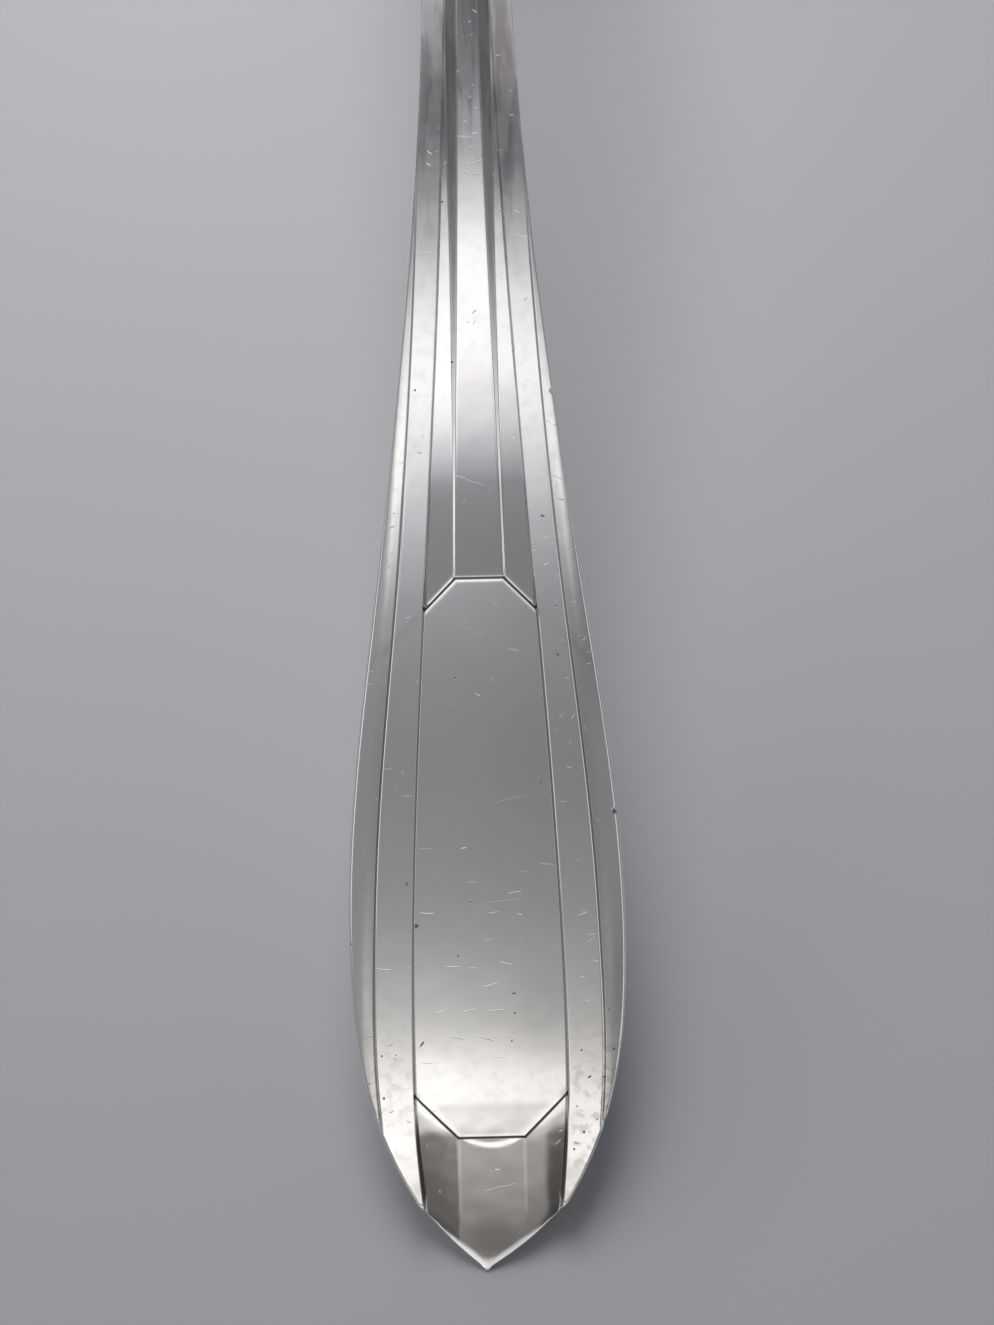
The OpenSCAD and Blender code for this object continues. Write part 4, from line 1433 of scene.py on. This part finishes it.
def studio_world():
    """World of soft bands for reflections, and a plain sky, lighter beyond the bowl, for all else."""
    world = bpy.data.worlds.new("studio")
    bpy.context.scene.world = world
    world.use_nodes = True
    nodes = Nodes(world.node_tree)
    x, y, z = nodes.parts(nodes.add("ShaderNodeTexCoord").outputs["Generated"])
    angle = nodes.math("ARCTAN2", nodes.times(y, -1.0), z)
    front = nodes.times(angle, 180 / math.pi)
    aside = nodes.math("ABSOLUTE", x)
    mirrored = studio_sides(nodes, studio_bands(nodes, angle), x, aside, front)
    mirrored = nodes.scaled(mirrored, studio_lean(nodes, x, front))
    level = nodes.times(nodes.soft_step(y, *SKY_BEYOND), nodes.soft_step(x, *SKY_RIGHT))
    sky = nodes.scaled(nodes.mix(nodes.soft_step(z, *SKY_UP), LOW_SKY, HIGH_SKY), level)
    ray = nodes.add("ShaderNodeLightPath").outputs
    seen = nodes.mix(ray["Is Glossy Ray"], sky, mirrored)
    seen = nodes.mix(ray["Is Camera Ray"], seen, BACKDROP)
    nodes.join(seen, world.node_tree.nodes["Background"].inputs["Color"])


def soft_lamp():
    """Broad lamp above the bowl, a little to the left, for the soft shadow on the right."""
    light = bpy.data.lights.new("soft lamp", "AREA")
    light.shape = "DISK"
    light.size = LAMP_SIZE
    light.energy = LAMP_POWER
    lamp = bpy.data.objects.new("soft_lamp", light)
    bpy.context.scene.collection.objects.link(lamp)
    lamp.location = LAMP_AT
    lamp.rotation_euler = (LAMP_AIM - LAMP_AT).to_track_quat("-Z", "Y").to_euler()
    lamp.visible_camera = False
    lamp.visible_glossy = False


def photo_camera():
    """Camera of the photograph."""
    heading = np.interp(CAMERA_OVER, PATH_AT, PATH_HEADING) + CAMERA_TILT
    spot = Vector(placed(np.array(CAMERA_OVER), np.array(0.0), np.array(0.0)))
    face_way = Vector((0, math.cos(heading), math.sin(heading)))
    face_up = Vector((0, -math.sin(heading), math.cos(heading)))
    across = Vector((1, 0, 0))
    up = face_way * math.cos(CAMERA_ROLL) + across * math.sin(CAMERA_ROLL)
    right = across * math.cos(CAMERA_ROLL) - face_way * math.sin(CAMERA_ROLL)
    eye = spot + face_up * CAMERA_AWAY * MM + right * CAMERA_ASIDE * MM
    data = bpy.data.cameras.new("photo camera")
    data.lens = CAMERA_LENS
    data.sensor_width = CAMERA_SENSOR
    data.clip_start = CAMERA_NEAR * MM
    data.clip_end = CAMERA_FAR * MM
    camera = bpy.data.objects.new("photo_camera", data)
    bpy.context.scene.collection.objects.link(camera)
    camera.matrix_world = Matrix((
        (right.x, up.x, face_up.x, eye.x),
        (right.y, up.y, face_up.y, eye.y),
        (right.z, up.z, face_up.z, eye.z),
        (0, 0, 0, 1),
    ))
    bpy.context.scene.camera = camera


photo_camera()
wear_groups = {
    "scratch": scratch_group(),
    "mark": mark_group(),
    "streak": streak_group(),
    "pit": pit_group(),
    "smudge": smudge_group(),
}
handle_piece(handle_silver(wear_groups))
bowl_piece(bowl_silver(wear_groups))
seam_piece(solder_silver(wear_groups))
pale_floor()
studio_world()
soft_lamp()
bpy.context.scene.view_settings.view_transform = "Standard"
